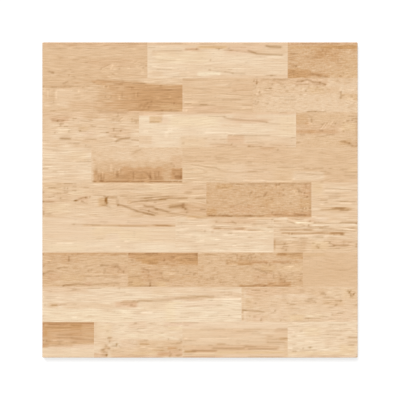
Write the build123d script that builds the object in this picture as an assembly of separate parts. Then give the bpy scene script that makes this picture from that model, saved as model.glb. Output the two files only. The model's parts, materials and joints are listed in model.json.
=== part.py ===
"""Square wood-look floor tile, dry-pressed and fired as one piece of glazed ceramic.

Millimetres, +Z up. The tile lies on its back with the decorated face up. The origin is the
centre of the back, on the plane that the back's ribs and rim stand on. X runs along the
printed wood strips and Y across them. The print itself is a flat decoration, so it has no
shape here: the solid is the pressed body with its edges and its keyed back.
"""

import os

from build123d import *

# Format of the tile
STRIP_WIDTH = 50.0  # one printed wood strip, measured across the strips
STRIP_ROWS = 9  # strips from one edge of the face to the other
SIDE = STRIP_WIDTH * STRIP_ROWS
THICKNESS = 8.0  # from the rib tops on the back to the decorated face
CORNER_RADIUS = 1.0  # plan radius that the press die leaves at each corner

# Edges of the slab
FACE_EDGE_RADIUS = 0.8  # eased arris around the decorated face, where the glaze turns down
BACK_CHAMFER = 0.8  # bevel around the back, which keeps the lower arris from chipping

# Keyed back: a waffle of shallow pockets that the bedding adhesive grips
POCKETS_PER_SIDE = 16
RIB_WIDTH = 4.0  # land between two neighbouring pockets
RIM_WIDTH = 11.0  # plain band from the outermost pockets to the tile's edge
POCKET_DEPTH = 0.8
POCKET_DRAFT = 30.0  # degrees that each pocket wall leans, so that the punch releases
POCKET_CORNER_CUT = 2.5  # each pocket's corners are cut across, so that the ribs meet in gussets

POCKET_PITCH = (SIDE - 2 * RIM_WIDTH + RIB_WIDTH) / POCKETS_PER_SIDE
POCKET_SIDE = POCKET_PITCH - RIB_WIDTH


def pressed_slab():
    """The square body with its rounded corners, eased face edge and bevelled back edge."""
    slab = extrude(RectangleRounded(SIDE, SIDE, CORNER_RADIUS), amount=THICKNESS)
    back_edges = slab.faces().sort_by(Axis.Z)[0].edges()
    slab = chamfer(back_edges, BACK_CHAMFER)
    face_edges = slab.faces().sort_by(Axis.Z)[-1].edges()
    return fillet(face_edges, FACE_EDGE_RADIUS)


def key_pocket():
    """One pocket of the keyed back: widest at the back plane, with leaning walls."""
    square = Rectangle(POCKET_SIDE, POCKET_SIDE)
    mouth = chamfer(square.vertices(), POCKET_CORNER_CUT)
    return extrude(mouth, amount=POCKET_DEPTH, taper=POCKET_DRAFT)


def keyed_tile():
    """The slab with the whole waffle of pockets pressed into its back."""
    pocket = key_pocket()
    places = GridLocations(POCKET_PITCH, POCKET_PITCH, POCKETS_PER_SIDE, POCKETS_PER_SIDE)
    return pressed_slab() - [place * pocket for place in places]


tile = keyed_tile()
os.makedirs("parts", exist_ok=True)
export_step(tile, "parts/tile.step")
print(f"tile {SIDE:g} x {SIDE:g} x {THICKNESS:g} mm, volume {tile.volume:.0f} mm3")
print(f"back: {POCKETS_PER_SIDE ** 2} pockets of {POCKET_SIDE:g} mm on a {POCKET_PITCH:g} mm pitch")
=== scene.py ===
# %% [markdown]
# # A wood-look floor tile
# The tile is one pressed and fired slab. Its face carries a print of strip parquet under a
# satin glaze, its sides are bare fired body, and its back is a waffle of shallow pockets that
# the adhesive grips. This lesson builds the slab with Geometry Nodes, paints the print as a
# field of tones on the mesh, and lets a small shader add the fine grain.

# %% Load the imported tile
import json
import math

import bpy
import bmesh
import numpy as np
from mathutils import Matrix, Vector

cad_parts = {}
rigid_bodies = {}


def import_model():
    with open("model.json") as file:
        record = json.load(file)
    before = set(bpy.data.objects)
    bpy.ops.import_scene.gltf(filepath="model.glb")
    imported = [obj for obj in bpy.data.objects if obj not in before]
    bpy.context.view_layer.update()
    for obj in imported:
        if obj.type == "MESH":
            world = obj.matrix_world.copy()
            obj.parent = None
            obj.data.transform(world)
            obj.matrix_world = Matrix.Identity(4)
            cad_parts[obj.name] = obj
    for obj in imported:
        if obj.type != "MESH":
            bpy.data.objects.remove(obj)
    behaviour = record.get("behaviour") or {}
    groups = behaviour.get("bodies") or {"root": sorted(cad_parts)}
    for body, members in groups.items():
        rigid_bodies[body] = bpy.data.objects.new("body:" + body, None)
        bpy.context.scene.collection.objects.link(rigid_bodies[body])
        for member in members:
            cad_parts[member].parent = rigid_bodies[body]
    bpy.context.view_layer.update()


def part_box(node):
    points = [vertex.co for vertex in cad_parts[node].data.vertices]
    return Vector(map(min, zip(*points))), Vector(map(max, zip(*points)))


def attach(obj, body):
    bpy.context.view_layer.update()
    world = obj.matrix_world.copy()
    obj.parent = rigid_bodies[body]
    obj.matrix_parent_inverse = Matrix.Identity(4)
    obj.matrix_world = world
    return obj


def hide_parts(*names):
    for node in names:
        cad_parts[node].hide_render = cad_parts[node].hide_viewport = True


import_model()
MM = 0.001
low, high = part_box("tile")
SIDE = round((high.x - low.x) / MM, 2)
THICKNESS = round((high.z - low.z) / MM, 2)
print(f"tile from the frame: {SIDE} x {SIDE} x {THICKNESS} mm")

# %% [markdown]
# ## The print's drawing board
# A printed tile is designed flat, so the print is described flat as well: millimetres from the
# left edge along the strips, and millimetres down from the top of each strip. Every strip of
# wood is a row of staves, and every stave has a tone. The tones are named after what they look
# like, from 0 for the darkest stain to 1 for the palest sapwood, so a mark can be read aloud.

# %% Named tones and the lists that hold the drawing
UMBER, CARAMEL, HONEY, TAN, BISCUIT, STRAW, CREAM = 0.0, 0.15, 0.30, 0.45, 0.60, 0.80, 1.0
STRIP_LINES = [0, 51.25, 100, 150, 200, 250, 300, 348.75, 398.75, SIDE]
staves = []
marks = []
pores = []
current = {"strip": 0, "strength": 1.0, "stains": 0, "fine": 0}
print(f"{len(STRIP_LINES) - 1} strips across the face")


# %% Helpers that add a stave or a mark to the strip in hand
def strip(number, pore_strength):
    """Starts a strip, counted from 1 at the top of the face, and says how strong its pores are."""
    current.update(strip=number, strength=pore_strength)


def stave(start, end, tone, line=1.0, reach=16.0, burl=0.0, wave=1.0):
    """A stave between two butt joints: its tone, its grain lines' strength and reach, and its figure."""
    staves.append(dict(strip=current["strip"], start=start, end=end, tone=tone,
                       line=line, reach=reach, burl=burl, wave=wave))
    current.update(stains=len(marks), fine=len(pores))


def mark(kind, box, to, much, hue, **more):
    """Keeps one stain: where it lies, the tone it goes to, how much of the way, and its tint."""
    marks.append(dict(strip=current["strip"], kind=kind, box=box, to=to, much=much, hue=hue, **more))


def patch(x0, x1, y0, y1, to, much=0.9, hue=0.0, soft=(4, 3), lean=0.0, ragged=0.0):
    """A stain with soft edges. Its top may lean down to the right, and its edges may be ragged."""
    mark("patch", (x0, x1, y0, y1), to, much, hue, soft=soft, lean=lean, ragged=ragged)


def spot(x, y, along, across, to, much=0.8, hue=0.0):
    """A soft oval, for knots, eyes and pale lenses."""
    mark("spot", (x, y, along, across), to, much, hue)


def ring(x, y, along, across, wide, to, much=0.7, hue=0.0):
    """An oval line, for the scrolls of a burl and the rings round a knot."""
    mark("ring", (x, y, along, across), to, much, hue, wide=wide)


print("stains: patch, spot and ring")


# %% Helpers that add fine pores
def pore(dark, *path, wide=0.8):
    """A fine streak through the points x, y, x, y ... that takes light away, or gives it below zero."""
    pores.append(dict(strip=current["strip"], xs=path[0::2], ys=path[1::2],
                      dark=dark * current["strength"], wide=wide))


def dashes(dark, *runs, wide=0.8):
    """Level streaks, each from one x to another at its y."""
    for x0, x1, y in runs:
        pore(dark, x0, y, x1, y, wide=wide)


def drips(dark, *runs, wide=0.8):
    """Upright streaks, each at its x from one y to another."""
    for x, y0, y1 in runs:
        pore(dark, x, y0, x, y1, wide=wide)


def dots(dark, *places, size=1.4):
    """Round specks, each at its x and y."""
    for x, y in places:
        pore(dark, x, y, wide=size)


def tell():
    """Prints how much is drawn on the stave in hand."""
    stains, fine = len(marks) - current["stains"], len(pores) - current["fine"]
    print(f"strip {current['strip']}, stave {len(staves)}: {stains} stains and {fine} pores")


print("pores: pore, dashes, drips and dots")

# %% [markdown]
# ## Drawing the nine strips
# Each of the next cells draws one stave, from left to right and from the top strip to the bottom
# one. First come the wide stains, which change the tone. Then come the pores, the fine dashes and
# specks that make wood look like wood. A pore only takes light away, or gives some back where its
# number is below zero, and the number counts steps of a display from 0 to 255. A mark stops at
# its stave's edge, as a real saw cut would stop it.

# %% Strip 1, stave 1: rosy tan with two feathers
strip(1, pore_strength=1.25)
stave(0, 150, 0.525, line=0.6, reach=24)
patch(0, 150, -6, 7, 0.50, hue=0.4)
patch(66, 130, 24, 36, 0.47, 0.6, hue=0.4, soft=(20, 6))
dashes(14, (9, 36, 9), (43, 56, 9), (65, 71, 9), (94, 105, 9), (25, 72, 2), (43, 53, 24.7),
       (60, 65, 46.5))
dashes(20, (105, 150, 2), (60, 65, 29), (20, 26, 47), (30, 36, 40.5), (38, 42, 38.5), (41, 46, 42.5))
dashes(-12, (128, 134, 10), (13, 17, 47.5), (10, 28, 37.5), (78, 88, 4))
dots(24, (15, 43.5), (38, 47), (110, 38), (101, 45), (84, 38), (144, 36.5), (148, 33.5))
dots(-26, (100.5, 33.5), (98, 37.5), (103, 38.5), (123, 37), (143, 42))
pore(26, 8, 41, 12, 42.5, 17, 44, wide=1.4)
pore(18, 42, 48, 48, 50.5)
pore(-18, 84, 39, 90, 36, 96, 33.5, 102, 31)
pore(-18, 90, 38.5, 96, 36, 102, 33)
pore(-12, 103, 35, 109, 32)
pore(-20, 84, 41, 89, 45, 94, 48.5, 98, 50)
pore(-13, 88, 41, 95, 44.5)
pore(-13, 98, 42, 108, 45.5)
pore(-14, 97, 46, 104, 49)
pore(-10, 88, 39.5, 96, 40)
pore(14, 86, 36.5, 97, 31.5)
pore(12, 92, 37.5, 99, 35)
pore(12, 86, 43, 93, 48)
pore(10, 97, 44, 104, 47.5)
pore(-16, 134, 36, 140, 37.5, 145, 39.5)
pore(-14, 133, 35, 139, 31, 146, 27)
pore(-14, 131, 31, 138, 26.5)
pore(-12, 128, 28, 132, 25)
pore(14, 134, 33.5, 145, 28.5)
pore(14, 137, 35, 146, 31)
pore(12, 130, 30, 136, 27)
tell()

# %% Strip 1, stave 2: pale sapwood with an amber vein
stave(150, 350, STRAW, line=0.6, reach=40)
patch(150, 350, -6, 5, 0.64, 0.8, hue=0.4)
patch(157, 190, 12, 19, 0.66, 0.9, soft=(4, 4))
patch(262, 318, 4, 16, 0.62, 0.8, hue=0.7, soft=(12, 6))
patch(222, 264, 5, 9, 0.42, 0.85, hue=-1.0, soft=(8, 3))
patch(204, 224, 8, 12, 0.50, 0.8, hue=0.9, soft=(8, 3))
patch(298, 350, 8, 18, 0.66, 0.8, soft=(10, 4))
patch(221, 254, 42, 48, CREAM, 0.95, hue=-0.3, soft=(5, 3))
patch(236, 350, 47, 60, 0.66, 0.8, hue=0.2, soft=(16, 3))
patch(162, 236, 14, 30, 0.87, 0.7, hue=-0.5, soft=(12, 6))
patch(322, 349, 3, 14, 0.66, 0.7, soft=(6, 4))
patch(152, 172, 41, 49, 0.68, 0.7, soft=(6, 3))
patch(196, 221, 41, 49, 0.70, 0.7, soft=(8, 3))
dashes(20, (162, 200, 2), (225, 248, 2), (286, 310, 2), (151, 161, 7.5), (157, 162, 12),
       (162, 185, 38.5))
dashes(24, (163, 200, 12), (203, 213, 10.5), (212, 222, 9.7), (247, 258, 9), (264, 268, 9),
       (267, 272, 11.5))
dashes(14, (283, 291, 7.5), (231, 242, 33), (244, 250, 37), (265, 271, 39), (289, 293, 28.5),
       (186, 206, 49))
dashes(-14, (168, 178, 6.5), (191, 197, 25.5), (157, 163, 34.5), (162, 186, 36), (208, 211, 31.5),
       (231, 242, 31))
dashes(-16, (151, 157, 42), (151, 157, 47), (250, 254, 46), (206, 209, 43), (206, 213, 12.5),
       (320, 345, 21))
dots(26, (220.5, 9.5), (240, 25.5), (239, 39), (327, 47.5), (252, 10))
pore(14, 157, 24.3, 180, 26, 197, 26.5)
pore(18, 258, 11, 275, 12, 285, 13.5, 294, 14.5, 306, 15.5)
pore(32, 293, 11.5, 300, 14, 306, 16.5, 316, 17, 326, 17.7, 344, 18.5, wide=1.3)
pore(40, 318, 5, 325, 6.5, 342, 7, wide=1.5)
pore(12, 236, 39.5, 250, 41, 262, 42)
pore(26, 259, 42, 266, 42.5, 273, 44.5)
pore(18, 270, 44.5, 290, 45, wide=1.5)
pore(22, 318, 47, 326, 47.5, 334, 47.5)
tell()

# %% Strip 1, stave 3: brown burl
stave(350, 450, 0.41, line=0.6, reach=14, burl=0.16)
patch(350, 450, -6, 5, 0.46, 0.8, hue=0.8)
patch(352, 440, 5, 9, 0.36, 0.8, hue=-0.9, soft=(14, 3))
patch(400, 450, 4, 9.5, 0.20, 0.9, hue=-1.0, soft=(12, 3))
patch(384, 426, 8, 24, 0.26, 0.7, soft=(14, 8), ragged=3)
patch(344, 364, 26, 60, 0.40, 0.8, soft=(8, 8), ragged=2)
patch(344, 382, 39, 60, 0.19, 0.9, hue=-0.3, soft=(8, 5), ragged=2)
patch(376, 410, 43, 49.5, 0.24, 0.8, soft=(10, 4), lean=3, ragged=2)
patch(410, 460, 40, 60, 0.48, 0.7, hue=-0.4, soft=(12, 8))
patch(362, 450, 50, 60, 0.54, 0.7, soft=(6, 1))
patch(428, 460, 22, 50, 0.50, 0.6, hue=-0.5, soft=(8, 6))
dashes(26, (362, 425, 2), (353, 365, 16.5), (408, 413, 9), (357, 364, 34), (351, 360, 44))
dashes(16, (351, 360, 21.5), (351, 360, 25.5), (350, 360, 31), (422, 438, 9.5), (434, 448, 36),
       (379, 384, 7.5))
dashes(-18, (409, 414, 34.5), (436, 440, 11.5))
dots(30, (400, 11), (379, 21.5), (427, 24), (362, 34.5), (387, 22), (391, 21))
dots(20, (383, 22), (398, 8.5), (418, 16), (432, 33), (384, 15), (430, 44), (426, 48.5), (385, 45),
     (393, 46.5))
drips(14, (422, 24, 30), (404, 13, 20), (383, 42, 48))
spot(398, 17, 5, 5, 0.20, 0.7)
ring(410, 23, 4, 3.6, 1.0, 0.30, 0.5)
pore(20, 384, 45, 395, 47.5, 408, 50.5, wide=1.5)
tell()

# %% Strip 2, stave 1: a stave with a caramel stain
strip(2, pore_strength=1.15)
stave(0, 200, 0.58, line=0.7, reach=24)
patch(0, 70, -6, 14, 0.47, 0.7, soft=(12, 4))
patch(18, 46, 16, 30, 0.70, 0.6, soft=(8, 4))
patch(0, 76, 33, 42, 0.68, 0.6, soft=(12, 4))
patch(150, 220, -6, 8, 0.68, 0.9, soft=(40, 2))
patch(84, 170, 1.5, 47.5, 0.34, 0.9, soft=(34, 3), lean=7.5)
patch(76, 152, 0.5, 9, 0.36, 0.8, soft=(6, 2), lean=6)
patch(71, 90, 2.5, 9, 0.26, 0.8, soft=(5, 2.5), ragged=1.5)
patch(40, 102, 33, 43, 0.48, 0.75, hue=0.3, soft=(12, 4))
patch(120, 230, 8.8, 47.5, 0.23, 0.9, soft=(50, 2), lean=0.8)
patch(138, 230, 18, 38, 0.18, 0.8, soft=(14, 6))
patch(168, 200, 38, 45, 0.38, 0.8, hue=-0.7, soft=(8, 3))
patch(80, 150, 47, 60, 0.50, 0.8, hue=0.5, soft=(10, 2))
patch(146, 220, 48.5, 60, 0.60, 0.8, soft=(8, 2))
patch(74, 104, 34, 43, 0.36, 0.7, hue=0.2, soft=(6, 4))
patch(80, 98, 18, 32, 0.42, 0.7, soft=(6, 5))
dashes(32, (12, 21, 12.8), (72, 76, 6.5), (57, 60, 13), (128, 148, 7.6), (109, 115, 9),
       (122, 145, 45.6))
dashes(22, (30, 44, 11), (37, 42, 13), (42, 44, 2), (77, 89, 2.4), (102, 110, 8.5), (112, 117, 4.5),
       (117, 129, 13), (11, 19, 46), (80, 108, 48), (146, 150, 11), (105, 109, 14), (160, 196, 46.5),
       (152, 199, 17))
dashes(15, (20, 34, 12), (42, 56, 11.3), (2, 8, 2), (88, 99, 4.5), (100, 108, 6), (63, 67, 11.5),
       (65, 73, 17), (107, 156, 31.5), (162, 186, 16.5), (78, 86, 46), (42, 54, 46), (150, 170, 41),
       (84, 88, 33.5), (146, 158, 34))
dashes(-16, (20, 43, 17), (64, 72, 14.5), (50, 55, 18.5), (20, 26, 37.5), (3, 10, 39), (123, 148, 47.6),
       (145, 160, 5.2))
dots(34, (1.5, 11.5), (91, 12), (169, 11), (129, 14), (188, 36))
dots(26, (152, 41), (155, 38), (147, 38), (141, 38), (139, 41), (145, 42), (150, 36), (156, 33),
     (171, 46), (183, 45))
dots(-24, (94, 12), (88, 12), (148, 12), (52, 18.5), (125, 29), (165, 28), (182, 27), (3, 16.5),
     (13, 17))
drips(18, (15, 19, 28), (11, 31, 36), (16.5, 31, 36), (105, 21, 31), (113.5, 19, 28), (97, 8, 14),
      (136, 20, 27))
drips(26, (131, 19, 30))
drips(-14, (110, 24, 31), (20, 18, 30), (8, 18, 28), (187, 30, 37), (134, 20, 27), (57, 17, 30))
pore(24, 29, 8, 33, 6.5, 37, 4.5, wide=1.3)
pore(16, 100, 2, 106, 3, 112, 6.5, 128, 6)
pore(14, 89, 24, 91, 29, 96, 30, 99, 27, 97, 24)
pore(-14, 92, 26, 94, 28, 97, 26)
pore(-10, 108, 22, 110, 31, 114, 31.5)
tell()

# %% Strip 2, stave 2: straight straw tan
stave(200, 300, 0.60, line=0.6, reach=40)
patch(200, 256, 40, 60, 0.55, 0.7, hue=0.7, soft=(20, 3))
patch(270, 300, 8, 22, 0.52, 0.6, hue=0.3, soft=(16, 6))
patch(298, 302, 2, 50, 0.50, 0.6, soft=(3, 6))
dashes(34, (202, 213, 36.5), (225, 236, 37.8))
dashes(18, (190, 236, 2), (256, 284, 30.5), (282, 300, 24.5), (212, 248, 38.5), (285, 300, 38.5),
       (276, 282, 3))
dashes(14, (214, 240, 15), (202, 214, 26), (202, 213, 29), (225, 300, 30.6), (265, 269, 13),
       (271, 277, 15.5), (271, 277, 18.5), (250, 253, 4), (265, 269, 9), (250, 282, 44.5),
       (288, 300, 44.5), (220, 251, 49))
dashes(-16, (203, 213, 27.5), (202, 222, 33.5), (202, 242, 35), (202, 216, 41.5), (285, 300, 42),
       (203, 213, 24.5))
dots(-26, (205.5, 46), (200.5, 22), (200.5, 46))
pore(12, 225, 16, 232, 17.5, 241, 20.5)
pore(12, 252, 21, 270, 23, 283, 24.5)
pore(-9, 250, 23, 270, 25, 286, 26)
tell()

# %% Strip 2, stave 3: light burl
stave(300, 450, 0.67, line=0.6, reach=12, burl=0.12)
patch(296, 330, -6, 30, 0.60, 0.7, soft=(12, 8))
patch(300, 362, -6, 9, 0.54, 0.8, hue=0.2, soft=(6, 4))
patch(360, 408, -6, 11, 0.52, 0.7, hue=0.5, soft=(6, 4))
patch(380, 404, 12, 22, 0.58, 0.8, hue=-0.5, soft=(8, 4))
patch(400, 424, 12, 22, 0.55, 0.8, soft=(8, 5))
patch(426, 460, 22, 31, 0.41, 0.8, hue=-0.8, soft=(6, 4), lean=2)
patch(320, 446, 24, 48, 0.74, 0.6, soft=(16, 6))
patch(300, 450, 48, 60, 0.64, 0.7, soft=(6, 2))
patch(416, 440, -6, 9, 0.56, 0.6, soft=(6, 4))
dashes(38, (330, 346, 2), (378, 391, 47.5))
dashes(26, (314, 332, 2), (345, 352, 2), (316, 326, 14.5), (339, 346, 9), (345, 363, 30.5),
       (318, 323, 36), (388, 402, 47.7))
dashes(16, (316, 324, 17.5), (334, 340, 6), (328, 361, 26.2), (388, 402, 16), (390, 398, 13),
       (339, 348, 48.5))
dashes(14, (343, 352, 36), (318, 326, 22), (329, 334, 39), (436, 442, 2), (436, 442, 6), (446, 450, 17),
       (373, 378, 27.5))
dashes(-16, (318, 325, 16), (328, 336, 28), (365, 373, 6.7), (362, 368, 2), (385, 400, 2.5),
       (413, 419, 5.5), (432, 446, 16.5))
dots(36, (310, 20), (311, 24), (306, 7.5), (302, 4), (371, 4), (396, 6.3), (403, 9), (363, 10),
     (376, 18), (441, 26))
dots(30, (328, 9), (325, 15), (425, 20), (429, 25), (425, 27.5), (369, 24), (346, 13), (349, 19),
     (378, 49), (403, 47.5))
dots(24, (304, 33), (305, 37), (301, 36), (308, 34), (303, 24), (307, 28), (304, 13), (380, 12.5),
     (421, 3), (437, 42))
dots(-24, (308, 18), (313, 20), (306, 22), (372, 16), (378, 5.5), (425, 16.5), (437, 29), (441, 30.5),
     (407, 10), (401, 45))
drips(22, (313, 1, 8), (306, 1, 9), (325, 13, 20), (426, 18, 30))
drips(-18, (315, 3, 9))
pore(30, 362, 4.8, 370, 4.6, 374, 3.3, 378, 2.3, 383, 3.5, 386, 5.5, 392, 6, 398, 6.6, 405, 9.8, wide=1.2)
pore(24, 365, 8, 372, 8.6, 381, 8.4)
pore(22, 385, 7, 390, 9.3, 396, 9, 401, 7.8)
pore(22, 422, 4, 426, 7)
pore(16, 430, 33.8, 438, 36.5)
pore(16, 431, 37.5, 440, 40)
pore(16, 441, 38, 448, 34)
pore(-14, 430, 35.5, 437, 38)
pore(-14, 438, 35, 448, 36.5)
tell()

# %% Strip 3, stave 1: light tan with flecks and eyes
strip(3, pore_strength=1.05)
stave(0, 138, 0.69, line=0.8, reach=24, wave=1.5)
patch(0, 140, -6, 8, 0.56, 0.7, hue=0.3, soft=(8, 4))
patch(70, 140, -6, 2, 0.46, 0.6, hue=0.5)
patch(58, 82, 2, 9, 0.50, 0.7, soft=(6, 3))
patch(10, 102, 29, 37, 0.77, 0.6, soft=(14, 4))
patch(56, 78, 38, 45, 0.56, 0.6, soft=(6, 3))
patch(92, 136, 3, 12, 0.52, 0.7, soft=(8, 4))
patch(12, 38, 7, 14, 0.48, 0.8, hue=0.8, soft=(6, 4), ragged=1.5)
patch(94, 126, 22, 38, 0.60, 0.7, hue=0.3, soft=(8, 8))
patch(22, 40, 22, 31, 0.80, 0.8, hue=-0.3)
patch(52, 66, 20, 27, 0.58, 0.6, hue=-0.6, soft=(6, 4))
patch(56, 74, 27, 34, 0.78, 0.7, hue=0.6, soft=(8, 4))
patch(126, 142, 4, 15, 0.64, 0.7, hue=-0.3, soft=(5, 5))
dashes(34, (25, 31, 15.8), (31, 37, 20), (28, 32, 11.5), (43, 49, 8.6), (91, 95, 28.7),
       (127, 134, 39.3), (45, 54, 44.2))
dashes(26, (54, 72, 12), (68, 72, 19), (70, 77, 20), (80, 122, 0.3), (94, 99, 33.5), (60, 78, 38.3),
       (103, 114, 26.5))
dashes(20, (20, 37, 4.5), (31, 38, 11), (80, 94, 21.5), (51, 60, 22.8), (104, 117, 23), (36, 46, 44.5),
       (64, 72, 49.5), (82, 95, 28.5), (94, 104, 13.2), (134, 141, 39.8), (88, 100, 43), (43, 46, 11),
       (105, 110, 6), (74, 80, 7.5))
dashes(-18, (31, 37, 17), (20, 26, 22), (24, 37, 25), (24, 37, 28.5), (102, 106, 39), (102, 105, 28),
       (44, 48, 6.8))
dots(34, (22, 12), (54, 26.5), (102, 23.5), (102, 26), (18, 29), (133, 11.5), (137, 11), (112, 26.5),
     (104.5, 34))
dots(26, (111, 13.5), (107, 12.5), (101, 10), (128, 9.5), (128.5, 13), (134, 14.5), (26, 18.5),
     (38, 27), (62, 47))
drips(24, (107.5, 0, 6), (27, 15, 20))
ring(68, 7, 3.2, 3.2, 0.9, 0.48, 0.6)
pore(26, 13, 10.5, 20, 12, 31, 12.2, wide=1.6)
pore(42, 25, 37.2, 33, 37.8, 41, 37.8, wide=1.7)
pore(28, 51, 25.5, 56, 27, 63, 27.2)
pore(26, 98, 34.3, 112, 35)
pore(40, 104, 42.5, 108, 39.5, 114, 37.8, 126, 36.5, wide=1.7)
pore(20, 109, 12, 115, 6.5)
pore(-18, 111, 12, 116, 8)
tell()

# %% Strip 3, stave 2: long pale stave
stave(138, 362, 0.82, line=0.5, reach=40)
patch(130, 362, -6, 3, 0.60, 0.8, hue=0.5, soft=(20, 3))
patch(138, 186, 5, 11, 0.92, 0.8, soft=(6, 3))
patch(153, 171, 5.5, 15, 0.60, 0.95, hue=-0.7, soft=(2.5, 2))
patch(164, 172, 5, 11, 0.54, 0.7, hue=0.0, soft=(2, 2))
patch(171, 182, 6, 15, 0.76, 0.8, hue=0.5, soft=(3, 4))
patch(136, 156, 33, 46, 0.66, 0.8, soft=(3, 3))
patch(182, 250, 6, 20, 0.91, 0.8, hue=-0.6, soft=(14, 6))
patch(162, 200, 24, 46, 0.88, 0.6, soft=(12, 8))
patch(197, 236, 36, 60, 0.70, 0.8, hue=-0.4, soft=(12, 8))
patch(232, 362, 36, 60, 0.66, 0.6, hue=0.2, soft=(30, 6))
patch(264, 288, 33, 44, 0.56, 0.9, hue=0.6, soft=(3, 4))
patch(256, 284, 16, 21, 0.70, 0.7, soft=(8, 3))
patch(270, 322, 9, 15, 0.62, 0.8, hue=0.7, soft=(20, 4))
patch(238, 350, 45, 60, 0.56, 0.7, hue=0.3, soft=(14, 4))
patch(338, 362, 6, 34, 0.84, 0.7, hue=-0.5, soft=(10, 8))
patch(272, 306, 4, 9, 0.62, 0.7, hue=0.4, soft=(8, 3))
patch(134, 172, -6, 5, 0.53, 0.8, hue=0.6, soft=(6, 3))
dashes(34, (153, 168, 13.6), (265, 271, 32.5), (272, 306, 33), (292, 302, 48.3))
dashes(26, (236, 262, 5.7), (304, 326, 33), (220, 271, 0.3), (355, 362, 35.8), (270, 277, 48.5),
       (338, 350, 0.5), (300, 314, 48.8))
dashes(20, (230, 236, 37.5), (242, 248, 38.5), (248, 260, 48.5), (253, 262, 38.3), (197, 203, 36.5),
       (346, 362, 47.3))
dashes(-26, (144, 164, 3), (144, 151, 27), (179, 186, 25.5))
dashes(-16, (162, 186, 4.7), (179, 195, 22.5), (232, 266, 28.5), (264, 276, 30), (174, 180, 29),
       (174, 180, 32), (174, 179, 35))
dots(34, (201, 44), (295, 48.5), (270, 46))
drips(-16, (361, 3, 34))
pore(28, 258, 6.5, 264, 8.8, 275, 10, 290, 11.2, 308, 12.2, 322, 14, wide=1.3)
pore(22, 318, 14.5, 328, 16.2, 340, 17)
pore(22, 238, 45.5, 252, 45.2, 262, 46.2, 269, 47.5)
pore(20, 291, 42.3, 306, 42.5, 317, 45)
pore(24, 310, 49, 322, 50, 336, 50.5)
pore(18, 324, 45.5, 336, 47, 342, 48)
tell()

# %% Strip 3, stave 3: tan with a hatched figure
stave(362, 450, 0.57, line=0.5, reach=16, burl=0.1)
patch(356, 379, 2, 18, 0.40, 0.9, hue=-0.2, soft=(1.5, 3))
patch(379, 440, 2, 12, 0.56, 0.6, hue=-0.2, soft=(8, 4))
patch(356, 424, 18, 32, 0.53, 0.7, hue=0.5, soft=(10, 6))
patch(356, 420, 25, 30.5, 0.36, 0.85, hue=0.4, soft=(12, 3))
spot(383, 27, 6, 3, 0.26, 0.8)
spot(378, 17, 4, 6, 0.34, 0.7, hue=0.5)
patch(428, 447, 15, 26, 0.66, 0.8, hue=-0.8, soft=(6, 4))
patch(382, 424, 33, 60, 0.57, 0.6, hue=-0.2, soft=(14, 6))
patch(424, 442, 40, 46, 0.36, 0.8, hue=-0.5, soft=(6, 4), lean=-1)
patch(440, 470, 42, 60, 0.46, 0.7, hue=0.3, soft=(6, 4))
dashes(32, (367, 375, 31.7), (362, 368, 43), (404, 417, 32), (436, 440, 5.7), (441, 445, 5.7),
       (433, 437, 12), (425, 433, 41.5))
dashes(22, (390, 404, 34.2), (443, 450, 9), (445, 450, 13), (383, 389, 10.5), (384, 388, 5.5),
       (440, 450, 48), (396, 401, 17))
dots(34, (397, 26), (400, 26), (418, 16), (429.5, 27), (430, 14.5), (384, 13.5), (438, 44), (437, 11.5),
     (442, 11))
dots(-30, (429, 24), (431, 12.8), (383, 15.7), (425, 23), (380, 16))
ring(399, 48, 2.2, 2.2, 0.8, 0.44, 0.6)
pore(24, 379, 3, 383, 7, 384, 12, wide=1.2)
pore(22, 397, 22, 403, 14.5)
pore(22, 401, 23, 408, 13.5)
pore(22, 405, 23.5, 413, 12.5)
pore(20, 410, 21, 417, 12)
pore(-22, 397, 24.5, 404, 16)
pore(-22, 400.5, 25, 408.5, 15)
pore(-22, 404.5, 24, 413, 13)
pore(-22, 409, 21.5, 416.5, 11)
pore(24, 430, 42.5, 437, 44, 444, 48, wide=1.5)
drips(16, (448.5, 3, 50))
tell()

# %% Strip 4, stave 1: pale straight grain
strip(4, pore_strength=0.9)
stave(0, 70, 0.75, line=0.8, reach=40)
patch(40, 64, 6, 20, 0.76, 0.7, hue=-0.5, soft=(8, 6))
dashes(32, (0, 9, 30), (14, 21, 34.3))
dashes(22, (15, 37, 4.3), (60, 71, 0.3), (2, 20, 15.5), (48, 71, 20.5), (2, 14, 25.5), (54, 65, 25.5),
       (65, 71, 27))
dashes(-18, (2, 20, 7.3), (42, 48, 19.7), (42, 48, 27), (2, 14, 27), (25, 31, 38.2), (2, 14, 42.5),
       (48, 60, 42.5))
tell()

# %% Strip 4, stave 2: a dark stain that drips
stave(70, 200, 0.66, line=0.5, reach=12, burl=0.05)
patch(73, 184, 19, 60, 0.46, 0.8, soft=(2, 10), ragged=2)
patch(94, 126, 22, 36, 0.44, 0.6, hue=0.3, soft=(8, 6))
patch(73.5, 128, 34, 60, 0.28, 0.85, soft=(2, 8), ragged=2.5)
patch(112, 174, 28, 60, 0.26, 0.85, soft=(8, 4), hue=0.2, ragged=1.5)
patch(172, 188, 24, 46, 0.36, 0.8, soft=(4, 6))
patch(183, 200, 12, 30, 0.46, 0.8, hue=0.3, soft=(5, 5))
patch(184, 210, 29.5, 46, 0.20, 0.95, hue=0.2, soft=(3, 2), ragged=0.8)
patch(126, 146, 2, 14, 0.58, 0.8, soft=(8, 6))
patch(104, 126, 5, 18, 0.72, 0.7, soft=(8, 6))
patch(72, 200, 47.8, 60, 0.22, 0.8, soft=(3, 1))
patch(118, 152, 37, 45, 0.19, 0.7, soft=(8, 4))
dashes(48, (90, 124, 48.6), (127, 140, 49), (81, 89, 48.2), (152, 186, 49.2), wide=1.1)
dashes(44, (72, 77, 49), (141, 145, 49), (187, 193, 48.7), (195, 200, 49), (189, 199, 41),
       (189, 199, 43.5), wide=1.5)
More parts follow.
